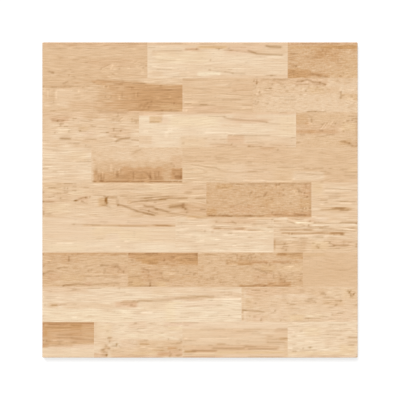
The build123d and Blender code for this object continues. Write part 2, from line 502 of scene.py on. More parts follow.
dashes(32, (125, 131, 35.5), (132, 148, 35.5), (133, 149, 43.8), (107, 121, 41.5), (160, 173, 42.5),
       (160, 173, 45))
dashes(24, (100, 126, 39.5), (100, 126, 44), (72, 76, 18), (83, 89, 44), (185, 198, 33),
       (186, 198, 36.5), (138, 141, 3))
dots(30, (85.5, 48), (184.5, 23.5), (188, 27), (187.5, 38), (107, 39))
drips(32, (77, 29, 39), (84, 37, 48), (107, 33, 44), (130, 35, 46), (154, 35, 46), (161, 34, 46),
      (166, 34, 41), wide=1.4)
drips(22, (101.5, 29, 37), (95, 25, 36), (80, 38, 46), (88, 38, 46), (112, 30, 36), (141, 36, 44),
      (147, 36, 44), (198, 30, 46))
drips(-18, (75, 23, 31), (81, 30, 37), (86, 34, 41), (98, 24, 34), (103.5, 33, 41), (110, 30, 36),
      (157.5, 35, 42), (187, 41, 47))
pore(38, 148, 36, 152, 40, 157, 45.5, wide=1.5)
pore(16, 128, 10, 134, 6, 142, 3, wide=2.0)
tell()

# %% Strip 4, stave 3: wavy tan with a pale lens
stave(200, 450, 0.58, line=0.55, reach=30, wave=1.8)
patch(200, 236, 0, 20, 0.56, 0.7, soft=(12, 6))
patch(200, 292, 24, 60, 0.70, 0.8, hue=-0.2, soft=(6, 8))
patch(262, 330, 26, 60, 0.68, 0.7, hue=0.2, soft=(20, 6))
patch(200, 240, 32, 40, 0.68, 0.5, hue=-0.4, soft=(10, 6))
patch(330, 362, 30, 60, 0.62, 0.7, hue=-0.3, soft=(10, 6))
patch(358, 402, 34.5, 47, 0.75, 0.9, soft=(8, 3))
patch(404, 470, 36, 60, 0.54, 0.6, hue=0.2, soft=(6, 5))
patch(436, 450, 24, 40, 0.58, 0.6, hue=-0.5, soft=(8, 6))
patch(312, 334, -6, 5, 0.42, 0.8, hue=0.4, soft=(8, 5))
patch(398, 446, 3, 26, 0.51, 0.6, soft=(12, 6))
patch(288, 350, 3, 20, 0.55, 0.5, hue=0.3, soft=(14, 6))
dashes(32, (247, 260, 14.8), (373, 382, 30), (385, 401, 30), (396, 406, 34), (430, 448, 40),
       (408, 414, 30))
dashes(24, (335, 362, 28.5), (245, 249, 13), (260, 268, 17), (425, 436, 31.3), (293, 316, 34.8),
       (396, 402, 48.5), (384, 400, 38.5))
dashes(20, (203, 214, 12.8), (231, 241, 13), (224, 231, 20), (362, 375, 27), (362, 384, 37.5),
       (400, 412, 37), (430, 450, 35.5), (310, 331, 0.5), (293, 299, 20.5), (328, 334, 21.5),
       (300, 322, 31.3), (250, 271, 20.8), (276, 284, 23), (288, 300, 22.5))
dashes(-24, (214, 226, 48.5), (247, 254, 45.5), (286, 294, 47), (293, 317, 47.5), (320, 357, 48.6),
       (356, 361, 45))
dots(38, (336, 3.5))
pore(18, 216, 20.5, 220, 18.7, 226, 20)
pore(28, 212, 24.5, 222, 25, 231, 27, 240, 28.5, 247, 29, 254, 32.3, wide=1.2)
pore(17, 252, 31.5, 262, 34.3, 276, 35.6, 290, 35, 306, 34)
pore(-22, 214, 23, 222, 23.8, 232, 26, 243, 27)
pore(-20, 212, 26.5, 222, 27.5, 232, 30)
pore(17, 200, 31, 212, 30.5, 220, 29, 227, 30.3, 233, 34, 236, 37)
pore(17, 200, 37, 212, 38, 225, 38, 235, 35.5)
pore(-14, 214, 31.5, 222, 32, 229, 34)
pore(20, 200, 43.3, 212, 42, 225, 41.5, 233, 42, 248, 43.5, 264, 45)
pore(-20, 200, 45, 214, 44, 229, 43)
pore(20, 200, 46.7, 212, 46, 225, 44.6, 233, 45, 248, 47, 264, 48.5)
pore(15, 204, 49, 218, 47.7, 229, 46.5, 241, 48.6)
pore(18, 339, 20, 346, 22.7)
pore(-10, 255, 26, 272, 27, 290, 26)
pore(10, 268, 24.5, 284, 26, 300, 25)
tell()

# %% Strip 5, stave 1: flowing grain with knots and a heart
strip(5, pore_strength=1.15)
stave(0, 234, 0.65, line=0.8, reach=30, wave=2.0)
patch(0, 30, -6, 14, 0.62, 0.7, hue=-0.4, soft=(10, 5))
patch(6, 22, 24, 30, 0.60, 0.6, hue=0.8, soft=(6, 4))
patch(6, 40, 30, 43, 0.80, 0.8, hue=-0.5, soft=(8, 5))
patch(40, 60, 12, 19, 0.80, 0.8, hue=-0.5, soft=(6, 4))
patch(36, 104, 34, 50, 0.76, 0.6, soft=(14, 6))
patch(50, 66, 20, 27, 0.52, 0.7, hue=0.7, soft=(5, 4))
patch(80, 92, 22, 34, 0.38, 0.85, hue=-0.6, soft=(5, 4))
patch(94, 106, 18, 32, 0.54, 0.7, soft=(3, 4))
patch(150, 196, 3, 17, 0.74, 0.8, hue=-0.4, soft=(20, 6))
patch(72, 206, -6, 2, 0.50, 0.8, soft=(8, 1.5))
patch(110, 240, 14, 32, 0.55, 0.6, soft=(16, 6))
patch(108, 200, 24, 42, 0.62, 0.6, hue=0.3, soft=(20, 6))
patch(140, 184, 30, 44, 0.58, 0.6, hue=0.5, soft=(14, 6))
patch(166, 206, 22, 28, 0.54, 0.7, hue=-0.3, soft=(10, 3))
patch(158, 182, 36, 46, 0.50, 0.7, soft=(8, 4))
patch(126, 144, 43, 49, 0.54, 0.7, soft=(6, 3))
patch(182, 206, 42, 49, 0.54, 0.7, soft=(6, 3))
patch(198, 240, 5, 16, 0.58, 0.7, hue=0.3, soft=(12, 6))
patch(180, 207, 30, 37, 0.36, 0.8, hue=-0.5, soft=(8, 3))
patch(150, 192, 42, 48, 0.50, 0.7, soft=(10, 3))
patch(158, 206, 19, 23.5, 0.46, 0.7, soft=(14, 2))
patch(196, 240, 30, 47, 0.40, 0.8, hue=0.3, soft=(14, 4))
patch(206, 240, 47, 60, 0.38, 0.85, hue=-0.6, soft=(6, 1.5))
patch(204, 234, 9, 15, 0.52, 0.7, soft=(8, 3))
patch(104, 152, 2, 8, 0.58, 0.6, soft=(12, 3))
patch(182, 208, 6, 12, 0.60, 0.6, hue=0.3, soft=(8, 3))
dashes(40, (30, 43, 1.7), (8, 19, 7.3), (30, 37, 14.2), (0, 17, 27.2), (45, 52, 25.8), (140, 151, 26.2),
       (168, 178, 24.2), (178, 208, 22.7), (218, 234, 22.7), (225, 234, 38.3))
dashes(32, (43, 49, 11.5), (58, 65, 21.5), (97, 108, 20.6), (110, 121, 19.7), (140, 158, 22.5),
       (8, 14, 44.6), (8, 14, 21), (14, 18, 20))
dashes(24, (20, 28, 2), (43, 49, 5.8), (59, 67, 7), (20, 28, 15.5), (30, 34, 11.5), (134, 158, 18.7),
       (203, 214, 14), (214, 231, 8.8), (130, 141, 22.6), (52, 58, 23))
dashes(16, (19, 28, 7), (14, 20, 16.5), (34, 43, 12), (72, 89, 18.5), (120, 134, 19.6),
       (116, 131, 22.8), (90, 158, 9.4), (2, 9, 45), (17, 31, 27), (43, 49, 1.6), (20, 26, 22))
dashes(-18, (73, 146, 2), (145, 200, 2.2), (223, 234, 18), (203, 224, 19), (195, 209, 27))
dots(44, (91, 24), (90.5, 26), (93, 29), (89, 20), (108, 32.5), (48, 26), (204.5, 37.8))
dots(34, (31.5, 8), (36, 8.5), (1.5, 14), (26.5, 22.5), (62, 21.5), (68, 20.5), (57, 27), (161, 28.5),
     (201, 30.5), (201, 36), (206.5, 42.7), (1, 27.5), (152, 40.5), (163, 38))
drips(36, (1.5, 40, 47))
drips(34, (106.7, 24, 32), (108.7, 24, 33))
drips(40, (91.5, 21, 31), wide=1.5)
ring(124.5, 28.3, 2.2, 1.8, 0.9, 0.30, 0.7)
pore(34, 84, 32, 90, 33, 98, 35.5)
pore(38, 108, 32, 114, 32.5, 120, 35, 128, 38, 136, 41, wide=1.3)
pore(36, 134, 40.5, 142, 42.5, 150, 44.3, 160, 46.8, wide=1.2)
pore(40, 126, 28.4, 140, 26.4, 160, 25, 178, 23.6)
pore(36, 96, 20, 91, 21.5, 90, 26, 92, 31, wide=1.1)
pore(32, 145, 22.4, 160, 21, 172, 20.2, 181, 19.5)
pore(20, 150, 25.8, 162, 25.3)
pore(34, 160, 25.2, 170, 24.4)
pore(42, 144, 32.3, 149, 34.3, 159, 34.9, wide=1.4)
pore(38, 158, 35.5, 164, 38, 171, 39.3, 180, 42.3, wide=1.2)
pore(26, 178, 42, 190, 45, 206, 46.8)
pore(34, 138, 38.3, 148, 39.5, 154, 41.3, 166, 45)
pore(34, 143, 43, 152, 45, 162, 47.2)
pore(36, 180, 35.5, 190, 34, 203, 32.5, wide=2.4)
pore(22, 198, 34.5, 203, 36.5, 208, 38.3, wide=1.5)
pore(26, 44, 26.5, 52, 24, 59, 21.5)
pore(22, 55, 26, 60, 28.5, 65, 31)
tell()

# %% Strip 5, stave 2: brown burl
stave(234, 384, 0.445, line=0.6, reach=12, burl=0.12)
patch(234, 384, -6, 1, 0.40, 0.7, soft=(2, 1))
patch(248, 270, 3, 9, 0.38, 0.8, hue=-0.9, soft=(6, 3))
patch(234.5, 248.5, 37, 48, 0.30, 0.85, hue=-0.6, soft=(2, 2.5))
patch(236, 384, 46, 49.6, 0.33, 0.85, soft=(4, 1.6))
patch(322, 384, 42, 49.6, 0.32, 0.85, hue=0.4, soft=(10, 3), ragged=1)
patch(268, 304, 33, 45, 0.42, 0.7, hue=0.6, soft=(5, 5))
patch(314, 330, 20, 33, 0.36, 0.7, hue=-0.5, soft=(6, 5))
patch(346, 366, 10, 36, 0.50, 0.7, soft=(8, 6))
patch(366, 384, 24, 36, 0.38, 0.7, hue=-0.6, soft=(6, 5))
patch(370, 384, 2, 20, 0.40, 0.7, hue=0.7, soft=(6, 5))
patch(234, 384, 49.7, 60, 0.60, 0.8, soft=(2, 0.8))
patch(306, 344, 4, 24, 0.39, 0.6, soft=(8, 6))
dashes(26, (288, 303, 47.8), (236, 248, 47), (255, 266, 46.7), (264, 271, 48.6), (330, 341, 45.7),
       wide=1.4)
dashes(44, (361, 376, 46.3), wide=1.4)
dashes(24, (276, 284, 2.5), (302, 317, 47.5), (340, 360, 47), (375, 384, 46.6), (372, 379, 21))
dashes(26, (293, 384, 1.7), (255, 266, 7.5), (297, 306, 4.5), (268, 281, 2), (236, 300, 47.6),
       (311, 317, 33.6), (307, 313, 20.3), (369, 373, 41))
dashes(16, (236, 241, 10), (270, 277, 10), (283, 300, 3), (303, 309, 20.8), (283, 290, 18.7),
       (253, 262, 22), (256, 263, 28.5), (346, 351, 5), (369, 372, 27), (354, 361, 3))
dashes(-14, (256, 263, 10), (325, 334, 32), (351, 358, 44.5), (312, 317, 36), (356, 366, 11),
       (356, 364, 17), (284, 292, 42))
dots(38, (327, 24), (376, 37), (381.5, 37), (374, 15), (378, 20), (298, 14.5), (334, 3.5), (338, 3),
     (328, 43), (372, 37))
dots(26, (235, 28.5), (251, 6.5), (318.5, 4.5), (366, 13), (344, 10), (343.5, 18), (338, 17), (296, 18),
     (315, 41.5), (304, 15), (354, 29.5), (357, 5), (253, 46), (383, 41))
dots(-26, (374, 37.3), (379, 37.7), (383, 38.5), (336.5, 6), (332, 6.5), (360, 13), (363, 16),
     (371, 16), (377, 18.3), (337, 30))
drips(18, (382.7, 2, 50), (376, 2, 9), (379, 2, 9), (335, 7, 15), (359.5, 42, 49))
pore(17, 267, 36, 273, 34, 279, 31, 286, 29, 294, 27.3)
pore(34, 320, 14, 318, 17, 316, 20.5, wide=1.3)
pore(30, 364, 9, 368, 12.5, 371, 15.5, wide=1.4)
tell()

# %% Strip 5, stave 3: light straw with an amber lens
stave(384, 450, 0.715, line=0.8, reach=45)
patch(384, 400, -6, 18, 0.70, 0.8, hue=-0.7, soft=(6, 6))
patch(400, 450, 13, 30, 0.66, 0.6, soft=(8, 6))
patch(396, 444, 35, 41, 0.54, 0.85, hue=-0.2, soft=(14, 3))
patch(412, 438, 35.5, 39.5, 0.42, 0.85, hue=-0.4, soft=(10, 2.5))
patch(436, 460, 40, 60, 0.64, 0.6, hue=0.2, soft=(8, 6))
patch(384, 402, 17, 23, 0.60, 0.7, soft=(5, 3))
dashes(32, (412, 431, 37.5), (424, 437, 39.6), wide=1.3)
dashes(28, (417, 434, 36.2), (434, 442, 38.6), (424, 448, 27.4), (402, 408, 28.5), (396, 412, 38.6),
       (396, 407, 25.3))
dashes(20, (402, 424, 15.5), (402, 425, 8.5), (424, 441, 9.8), (408, 425, 20), (418, 437, 26),
       (441, 449, 11.5), (396, 402, 0.2), (408, 424, 22.5))
dashes(-20, (398, 404, 6.3), (385, 391, 48.6), (424, 441, 29.6), (402, 418, 11), (396, 402, 31))
tell()

# %% Strip 6, stave 1: pale strip with one amber line
strip(6, pore_strength=0.9)
stave(0, 190.5, 0.765, line=0.45, reach=60)
patch(0, 190, 15, 36, 0.80, 0.5, hue=-0.4, soft=(8, 6))
patch(6, 70, -6, 32, 0.77, 0.7, hue=0.2, soft=(14, 6))
patch(0, 45, 22, 29, 0.72, 0.5, soft=(14, 3))
patch(60, 190, -6, 14, 0.71, 0.7, hue=0.4, soft=(14, 5))
patch(72, 112, 12.5, 26, 0.78, 0.6, hue=-0.6, soft=(10, 4))
patch(92, 110, 23, 34, 0.83, 0.6, hue=0.6, soft=(8, 5))
patch(110, 150, 19, 34, 0.83, 0.7, hue=-0.6, soft=(8, 5))
patch(112, 150, 8, 11, 0.70, 0.6, hue=0.8, soft=(14, 2))
patch(158, 196, 19, 33, 0.75, 0.6, soft=(8, 4))
patch(8, 62, 38, 49, 0.90, 0.6, hue=-0.5, soft=(14, 5))
patch(60, 130, 33, 49, 0.87, 0.6, soft=(14, 5))
patch(130, 196, 36, 49, 0.91, 0.7, soft=(14, 5))
patch(0, 196, 49.2, 60, 0.74, 0.7, hue=0.2, soft=(2, 0.8))
patch(58, 112, 9.6, 12.6, 0.50, 0.8, hue=-0.2, soft=(8, 1.3))
patch(108, 196, 10, 13.2, 0.44, 0.9, hue=0.1, soft=(6, 1.4))
patch(160, 184, 10.2, 12.6, 0.26, 0.8, soft=(6, 1.3))
dashes(34, (42, 48, 9.8), (70, 83, 11), (162, 180, 11.4), wide=1.2)
dashes(22, (48, 72, 10.3), (83, 111, 11.4), (178, 186, 12), (110, 150, 12), (157, 164, 10.4),
       (76, 88, 30), (120, 139, 7.3), (82, 94, 5.6))
dashes(-24, (20, 43, 37), (105, 111, 41.5), (117, 124, 34))
tell()

# %% Strip 6, stave 2: pale streaked grain
stave(190.5, 329.5, 0.795, line=0.7, reach=34)
patch(190, 212, -6, 9, 0.76, 0.6, soft=(6, 4))
patch(206, 330, -6, 2.6, 0.54, 0.8, soft=(6, 1.5))
patch(238, 306, 1, 11, 0.64, 0.7, soft=(8, 4))
patch(268, 330, 4, 15, 0.68, 0.7, soft=(10, 4))
patch(244, 272, 4.6, 9.6, 0.62, 0.8, hue=0.3, soft=(5, 2))
patch(270, 308, 4, 13, 0.68, 0.7, hue=-0.1, soft=(6, 4))
patch(240, 262, 11.5, 17, 0.70, 0.6, soft=(6, 2))
patch(244, 290, 14.2, 17.5, 0.56, 0.85, hue=0.4, soft=(5, 1.5))
patch(276, 290, 14.6, 17.6, 0.48, 0.8, hue=0.7, soft=(5, 1.4))
patch(286, 316, 16.6, 19, 0.54, 0.85, hue=0.1, soft=(4, 1.2))
patch(241, 246, 18, 27, 0.72, 0.7, hue=0.5, soft=(2, 3))
patch(220, 250, 22, 36, 0.88, 0.6, hue=-0.2, soft=(8, 6))
patch(306, 329.5, 10, 26, 0.82, 0.6, hue=-0.3, soft=(8, 5))
patch(300, 329.5, 40, 49, 0.90, 0.7, soft=(10, 4))
patch(191, 329.5, 49.4, 60, 0.72, 0.7, hue=0.2, soft=(2, 0.8))
patch(262, 304, 1, 9, 0.52, 0.7, hue=0.5, soft=(8, 3))
dashes(34, (245, 255, 15.5), (274, 288, 16.6), (293, 311, 18), (264, 271, 22.8), (321, 329.5, 14.2),
       wide=1.1)
dashes(26, (286, 298, 7.4), (259, 276, 16.2), (300, 322, 8.4), (230, 248, 39), (240, 271, 13),
       (293, 298, 28.3))
dashes(18, (192, 208, 3.4), (193, 208, 8.3), (198, 204, 14.2), (190, 198, 20.6), (204, 243, 20.5),
       (207, 220, 34), (213, 220, 28.3), (196, 222, 40.8), (190, 196, 25.7), (247, 254, 21.8),
       (252, 266, 45.2), (287, 294, 37.3), (287, 294, 41.3), (271, 277, 38.2), (274, 294, 24.4),
       (299, 306, 10), (247, 272, 7.3), (247, 251, 38.4))
dashes(-22, (207, 220, 1.3), (271, 312, 19.7), (225, 231, 32), wide=1.2)
dashes(-22, (202, 214, 24.2), (220, 243, 11.3), (229, 243, 17), (287, 299, 12.5), (258, 329, 48.2),
       (247, 254, 31.3), (253, 260, 47), (197, 209, 15.8), (247, 271, 11.6), (271, 277, 40),
       (293, 329, 1.5), (310, 328, 20.6))
dots(30, (248.5, 6.3), (232, 19), (243, 21), (328.5, 2.7))
pore(36, 270, 4.8, 273, 7, 277, 9.4, wide=1.2)
pore(18, 310, 17.5, 316, 19, 323, 20.2)
pore(-15, 258, 24.4, 275, 25.6, 294, 27.6)
pore(16, 318, 23, 329, 24.2)
tell()

# %% Strip 6, stave 3: tan grain with dark flecks
stave(329.5, 450, 0.64, line=0.9, reach=30, wave=1.6)
patch(332, 376, 33, 49, 0.54, 0.8, soft=(3, 3))
patch(329.5, 450, -6, 33, 0.72, 0.7, soft=(4, 4))
patch(329.5, 352, 0, 3.4, 0.86, 0.7, soft=(4, 1.5))
patch(350, 364, -2, 3.4, 0.50, 0.8, hue=0.2, soft=(4, 1.6))
patch(360, 388, 4.6, 9.2, 0.90, 0.8, hue=-0.7, soft=(6, 2))
patch(378, 389, 4, 6.6, 0.48, 0.8, hue=0.9, soft=(4, 1.3))
patch(384, 408, -6, 5, 0.80, 0.7, hue=0.5, soft=(5, 3))
patch(384, 450, 9.3, 11.8, 0.86, 0.8, soft=(6, 1.3))
patch(338, 388, 16.4, 19.2, 0.52, 0.8, hue=0.1, soft=(4, 1.3))
patch(341, 432, 20.9, 24.2, 0.46, 0.9, hue=0.1, soft=(5, 1.4))
patch(410, 432, 20.9, 25.2, 0.24, 0.8, hue=-0.1, soft=(5, 1.4), ragged=1)
patch(352, 430, 25, 27.6, 0.82, 0.7, soft=(8, 1.4))
patch(398, 450, 16.6, 20.4, 0.62, 0.6, soft=(6, 2))
patch(430, 460, 20, 33, 0.74, 0.6, soft=(6, 4))
patch(384, 408, 34, 46, 0.66, 0.7, hue=-0.9, soft=(6, 4))
patch(412, 440, 32, 42, 0.58, 0.7, hue=0.5, soft=(8, 4))
patch(329.5, 333, 32, 48, 0.40, 0.8, soft=(1.5, 4))
patch(352, 388, 1, 5, 0.54, 0.6, hue=0.4, soft=(6, 2))
dashes(44, (424, 450, 7.6), (373, 385, 17.8), (412, 430, 22.3), (390, 402, 28.3), (414, 437, 39.8),
       wide=1.2)
dashes(36, (339, 351, 17.8), (361, 373, 2.9), (388, 395, 6.8), (402, 409, 12.7), (395, 406, 15.3),
       (356, 364, 28.4), (343, 351, 37.7), (343, 351, 41.3), (440, 449, 14.7), (424, 431, 23.9),
       (390, 397, 38.5), (384, 389, 36.7))
dashes(27, (329.5, 371, 13.8), (350, 363, 18), (341, 352, 22.3), (356, 386, 22.4), (385, 414, 22.3),
       (333, 343, 37.8), (394, 404, 12.9), (367, 380, 29.8), (405, 414, 15.5), (408, 417, 41.3),
       (418, 425, 43.7), (356, 366, 35))
dashes(20, (370, 386, 14), (388, 395, 12.5), (361, 374, 17.4), (434, 446, 13.7), (384, 391, 28.3),
       (367, 373, 9.8), (370, 375, 11.5), (351, 355, 33), (350, 357, 36.7), (340, 344, 33.4),
       (343, 350, 35), (400, 410, 34))
dashes(-20, (385, 401, 10.5), (362, 374, 7), (372, 384, 8.2), (368, 379, 10.5), (329.5, 350, 1.5),
       (400, 426, 6), (400, 426, 10.3), (425, 450, 10.5), (358, 386, 26.5), (402, 421, 26.5),
       (362, 386, 1))
dots(44, (343, 44), (347.5, 46), (394, 42.8), (391.5, 41.5), (380, 11), (448, 41.3), (352, 23.2),
     (356, 23.2))
dots(32, (410, 35.5), (448, 38), (388.5, 7.5), (382, 5.4), (448, 8.8), (419, 25), (427, 25),
     (416, 24.6), (346, 37.4))
drips(30, (330.6, 33, 45), wide=1.5)
drips(18, (430, 33, 39), wide=2.0)
pore(34, 349, 4.6, 355, 6.3, 361, 9.2, wide=1.2)
pore(-26, 351, 3.4, 359, 5.6, 368, 7.6, wide=1.2)
pore(26, 394, 7.4, 402, 8.1, 426, 8.3, wide=1.2)
pore(26, 378, 13.4, 390, 14.5, 401, 15.3)
pore(26, 399, 18.9, 412, 18.2, 426, 18.5, 437, 19.3, 447, 20)
pore(-20, 433, 15.6, 438, 17.8, 447, 16.8)
pore(18, 329.5, 24.2, 340, 25, 351, 27, 362, 28.3)
pore(-18, 322, 22.4, 340, 24, 351, 25.6)
pore(16, 371, 34, 376, 35.2, 381, 37.2)
pore(30, 409, 35.4, 414, 38.6, 418, 40)
pore(20, 435, 37.2, 441, 34.6, 450, 33.8)
pore(14, 393, 43, 400, 47, 406, 50)
pore(-13, 401, 38, 408, 34.6)
tell()

# %% Strip 7, stave 1: brown burl
strip(7, pore_strength=0.75)
stave(0, 122.3, 0.475, line=0.6, reach=16, burl=0.08, wave=1.6)
patch(-6, 122, -6, 3.4, 0.34, 0.8, soft=(2, 1.6))
patch(26, 37, 3, 17, 0.34, 0.7, soft=(4, 4))
patch(4, 58, 4, 16, 0.40, 0.5, hue=0.2, soft=(6, 5))
patch(22, 58, 16, 20.5, 0.52, 0.7, soft=(8, 2.5), lean=-2)
patch(8, 26, 29, 42, 0.46, 0.7, hue=0.7, soft=(6, 6))
patch(26, 64, 32, 44, 0.52, 0.7, hue=-0.5, soft=(8, 6))
patch(60, 122, 9, 16, 0.50, 0.6, hue=-0.2, soft=(8, 3))
patch(92, 122, 18, 30, 0.42, 0.7, hue=0.4, soft=(6, 5))
patch(58, 122, 35, 43, 0.60, 0.7, hue=0.1, soft=(8, 3))
patch(110, 122, 30, 49, 0.57, 0.8, hue=0.2, soft=(4, 4))
patch(14, 64, 40.5, 44, 0.58, 0.7, soft=(10, 2))
patch(60, 70, 42.5, 47, 0.44, 0.8, hue=1.0, soft=(3, 2))
patch(66, 122, 46.5, 60, 0.58, 0.7, soft=(8, 2))
patch(24, 30, 48.6, 60, 0.95, 0.8, soft=(2, 1.5))
dashes(42, (53, 60, 45.2), (8, 15, 27.3), (82, 96, 18.1), (98, 109, 20.1), (20, 26, 22.4), wide=1.2)
dashes(32, (24, 38, 21.3), (31, 50, 46.3), (60, 66, 19.5), (61, 71, 33.2), (94, 119, 34.2),
       (117, 123, 12.8), (8, 14, 35.6), (47, 53, 27.2), (90, 98, 30), (98, 107, 17.2))
dashes(22, (14, 20, 8.6), (20, 27, 8.3), (14, 19, 13.6), (8, 13, 14.8), (8, 14, 17), (55, 59, 11.5),
       (58, 63, 28.3), (65, 81, 34), (78, 96, 33.7), (100, 121, 2.3), (20, 29, 48.5), (14, 21, 27),
       (103, 112, 36.5), (52, 60, 2))
dashes(-22, (3, 14, 45.5), (112, 121, 18.2), (24, 37, 18.6), (117, 122, 10.5), (60, 120, 30.9),
       (4, 13, 11.4))
dots(46, (1, 30.5), (1, 2), (30, 47.6), (109, 22), (111, 23.6), (115.5, 26.5), (88.5, 29.5), (1, 20))
dots(36, (43, 3), (51, 2), (38, 6.5), (38, 10), (38, 12), (41, 12), (66, 25.7), (70.5, 24.5),
     (89, 24.5), (89, 26.5), (108, 27), (116, 28.2), (119.5, 20.5), (9.5, 13), (85, 18), (107.5, 17.8),
     (104, 20))
drips(24, (38, 4, 13), (49, 28, 33.5), (102.5, 45, 50))
pore(36, 0, 30.5, 4, 29.6, 9, 27.4, wide=1.3)
pore(34, 28, 48, 35, 46.4, 45, 45, 54, 44.6, wide=1.2)
pore(30, 58, 45.6, 66, 46.2, 76, 45.5, 86, 44.5, 97, 43.8, 104, 43.3, 111, 44.1, wide=1.2)
pore(-18, 2, 13.2, 7, 11.2, 14, 11.6)
tell()

# %% Strip 7, stave 2: amber burl
stave(122.3, 222.3, 0.42, line=0.6, reach=16, burl=0.10)
patch(123, 230, -6, 4, 0.24, 0.95, hue=0.3, soft=(1.5, 1))
patch(123, 134, 2, 8, 0.24, 0.8, hue=0.4, soft=(2, 2))
patch(133, 168, 2, 12, 0.23, 0.85, hue=-0.4, soft=(5, 4))
patch(142, 152, 8, 16, 0.24, 0.8, hue=-1.0, soft=(5, 4))
patch(150, 166, 8.5, 17, 0.17, 0.9, hue=-0.6, soft=(3, 2))
patch(166, 200, 2, 13, 0.20, 0.85, hue=0.2, soft=(6, 3))
patch(192, 230, 2, 11, 0.20, 0.9, hue=-0.1, soft=(6, 3), lean=0)
patch(194, 226, 9, 16.5, 0.20, 0.8, hue=-0.5, soft=(6, 3))
patch(166, 196, 12, 20, 0.32, 0.7, hue=0.1, soft=(6, 4))
patch(139, 166, 16, 21.5, 0.44, 0.8, hue=0.1, soft=(5, 2.5), lean=2)
patch(123, 140, 20, 32, 0.52, 0.8, hue=-0.3, soft=(4, 4))
patch(140, 170, 22, 40, 0.40, 0.6, hue=0.5, soft=(6, 5))
patch(172, 220, 20, 33, 0.49, 0.7, soft=(8, 4))
patch(123, 142, 33, 49, 0.45, 0.7, hue=-0.6, soft=(4, 2))
patch(128, 146, 42, 47, 0.46, 0.7, hue=-1.0, soft=(5, 3))
patch(184, 230, 35.5, 43, 0.47, 0.7, soft=(8, 3))
patch(163, 178, 42, 60, 0.60, 0.8, hue=-1.0, soft=(5, 4))
patch(176, 222, 43, 47, 0.56, 0.7, hue=0.4, soft=(6, 2))
patch(166, 222, 49.2, 60, 0.72, 0.7, soft=(4, 1))
patch(164, 184, 18, 28, 0.40, 0.5, soft=(6, 4))
dashes(40, (123, 129, 46.2), (152, 164, 14.8), (207, 222, 11), (193, 201, 48), (200, 210, 31.2),
       (123, 133, 1.6))
dashes(40, (128, 140, 34.2), (139, 165, 48), (209, 214, 28.5), (146, 165, 1.6), (123, 129, 42.5),
       wide=1.1)
dashes(30, (149, 165, 24.8), (134, 160, 2.2), (150, 157, 4), (184, 194, 48), (128, 141, 47.3),
       (186, 191, 10.8), (163, 171, 36.4), (192, 222, 2.6), (123, 129, 34.5), (196, 222, 8.4),
       (134, 144, 8))
dashes(-28, (173, 184, 30), (183, 190, 30.6), (203, 207, 33), wide=1.2)
dots(46, (123.5, 2), (153.5, 47.5), (154, 45), (178.5, 15.8), (169, 29), (151.5, 28), (220, 3.4),
     (188, 7))
dots(34, (128, 10.5), (129, 13), (144, 27), (152, 32.5), (152, 39.5), (155, 40), (216, 31), (218, 30.4),
     (165, 15.5), (170.5, 30.3), (191, 25), (193.5, 27), (206, 25), (174, 11))
drips(22, (174, 6, 12), (179, 6, 12), (183, 5, 12), (186.5, 4, 9), (154, 41, 48))
pore(38, 142, 22, 146, 23.6, 151, 25.4, wide=1.3)
pore(38, 170, 37.8, 175, 38.8, 182, 40, wide=1.2)
pore(-28, 186, 9.6, 191, 8, 197, 5.8, wide=1.2)
pore(-16, 140, 15.4, 149, 18.6, 160, 20.6, wide=1.3)
pore(-14, 142, 21, 148, 22.6, 160, 23)
tell()

# %% Strip 7, stave 3: tan burl with a fan of scallops
stave(222.3, 371.3, 0.485, line=0.6, reach=14, burl=0.10)
patch(222, 262, 6, 28, 0.52, 0.7, soft=(8, 6))
patch(230, 250, 1.4, 4, 0.38, 0.8, hue=-0.2, soft=(6, 1.6))
patch(262, 302, 9.5, 17.5, 0.36, 0.9, hue=-0.2, soft=(4, 2), lean=1)
patch(278, 300, 14, 18, 0.26, 0.85, hue=-0.6, soft=(4, 1.8))
patch(276, 302, -4, 10, 0.42, 0.7)
patch(298, 322, 11.4, 15.8, 0.29, 0.9, hue=0.4, soft=(3, 1.8))
patch(326, 352, 10.6, 15.4, 0.35, 0.9, hue=0.4, soft=(4, 2))
patch(350, 366, 12, 15.5, 0.34, 0.8, soft=(6, 2))
patch(310, 336, 1.2, 4, 0.40, 0.7, soft=(4, 1.6))
patch(334, 351, 0, 4.4, 0.24, 0.9, hue=-0.6, soft=(2.5, 1.4))
patch(334, 352, 4, 7.4, 0.34, 0.7, soft=(4, 2))
patch(350, 372, -4, 7.6, 0.36, 0.9, hue=-0.5, soft=(2, 2))
patch(354, 373, 6, 10, 0.32, 0.7, hue=-0.4)
patch(338, 371, 16.5, 27, 0.60, 0.8, hue=-0.5, soft=(8, 4))
patch(312, 332, 17, 28, 0.46, 0.7, hue=-0.7, soft=(5, 4))
patch(302, 330, 28, 44, 0.44, 0.6, hue=0.6, soft=(6, 5))
patch(330, 350, 28, 42, 0.42, 0.6, hue=0.1, soft=(5, 5))
patch(362, 372, 34, 43, 0.40, 0.7, soft=(4, 4))
patch(224, 236, 37, 45, 0.45, 0.8, hue=0.1)
patch(234, 262, 44, 49, 0.54, 0.7, hue=0.3, soft=(6, 3))
patch(280, 306, 46.6, 49.8, 0.22, 0.9, hue=-0.5, soft=(5, 1.4))
patch(300, 324, 45, 49.6, 0.25, 0.9, hue=0.3, soft=(4, 1.6), ragged=0.8)
patch(321, 354, 42, 49.4, 0.26, 0.9, hue=0.2, soft=(3, 2), ragged=1)
patch(222, 230, 2, 28, 0.42, 0.6, soft=(5, 4))
spot(338, 39, 8, 6, 0.33, 0.6)
dashes(44, (282, 304, 48.2), (310, 323, 47.8), (304, 312, 46), (330, 352, 47.7), (335, 349, 2),
       (350, 371, 1.6), wide=1.2)
dashes(34, (270, 277, 20), (264, 271, 6.8), (268, 277, 13), (279, 300, 16.4), (231, 248, 2.8),
       (270, 278, 2.2), (299, 319, 13.6), (340, 351, 15), (352, 371, 4.6), (356, 362, 37.2),
       (337, 344, 38), (322, 330, 44.8))
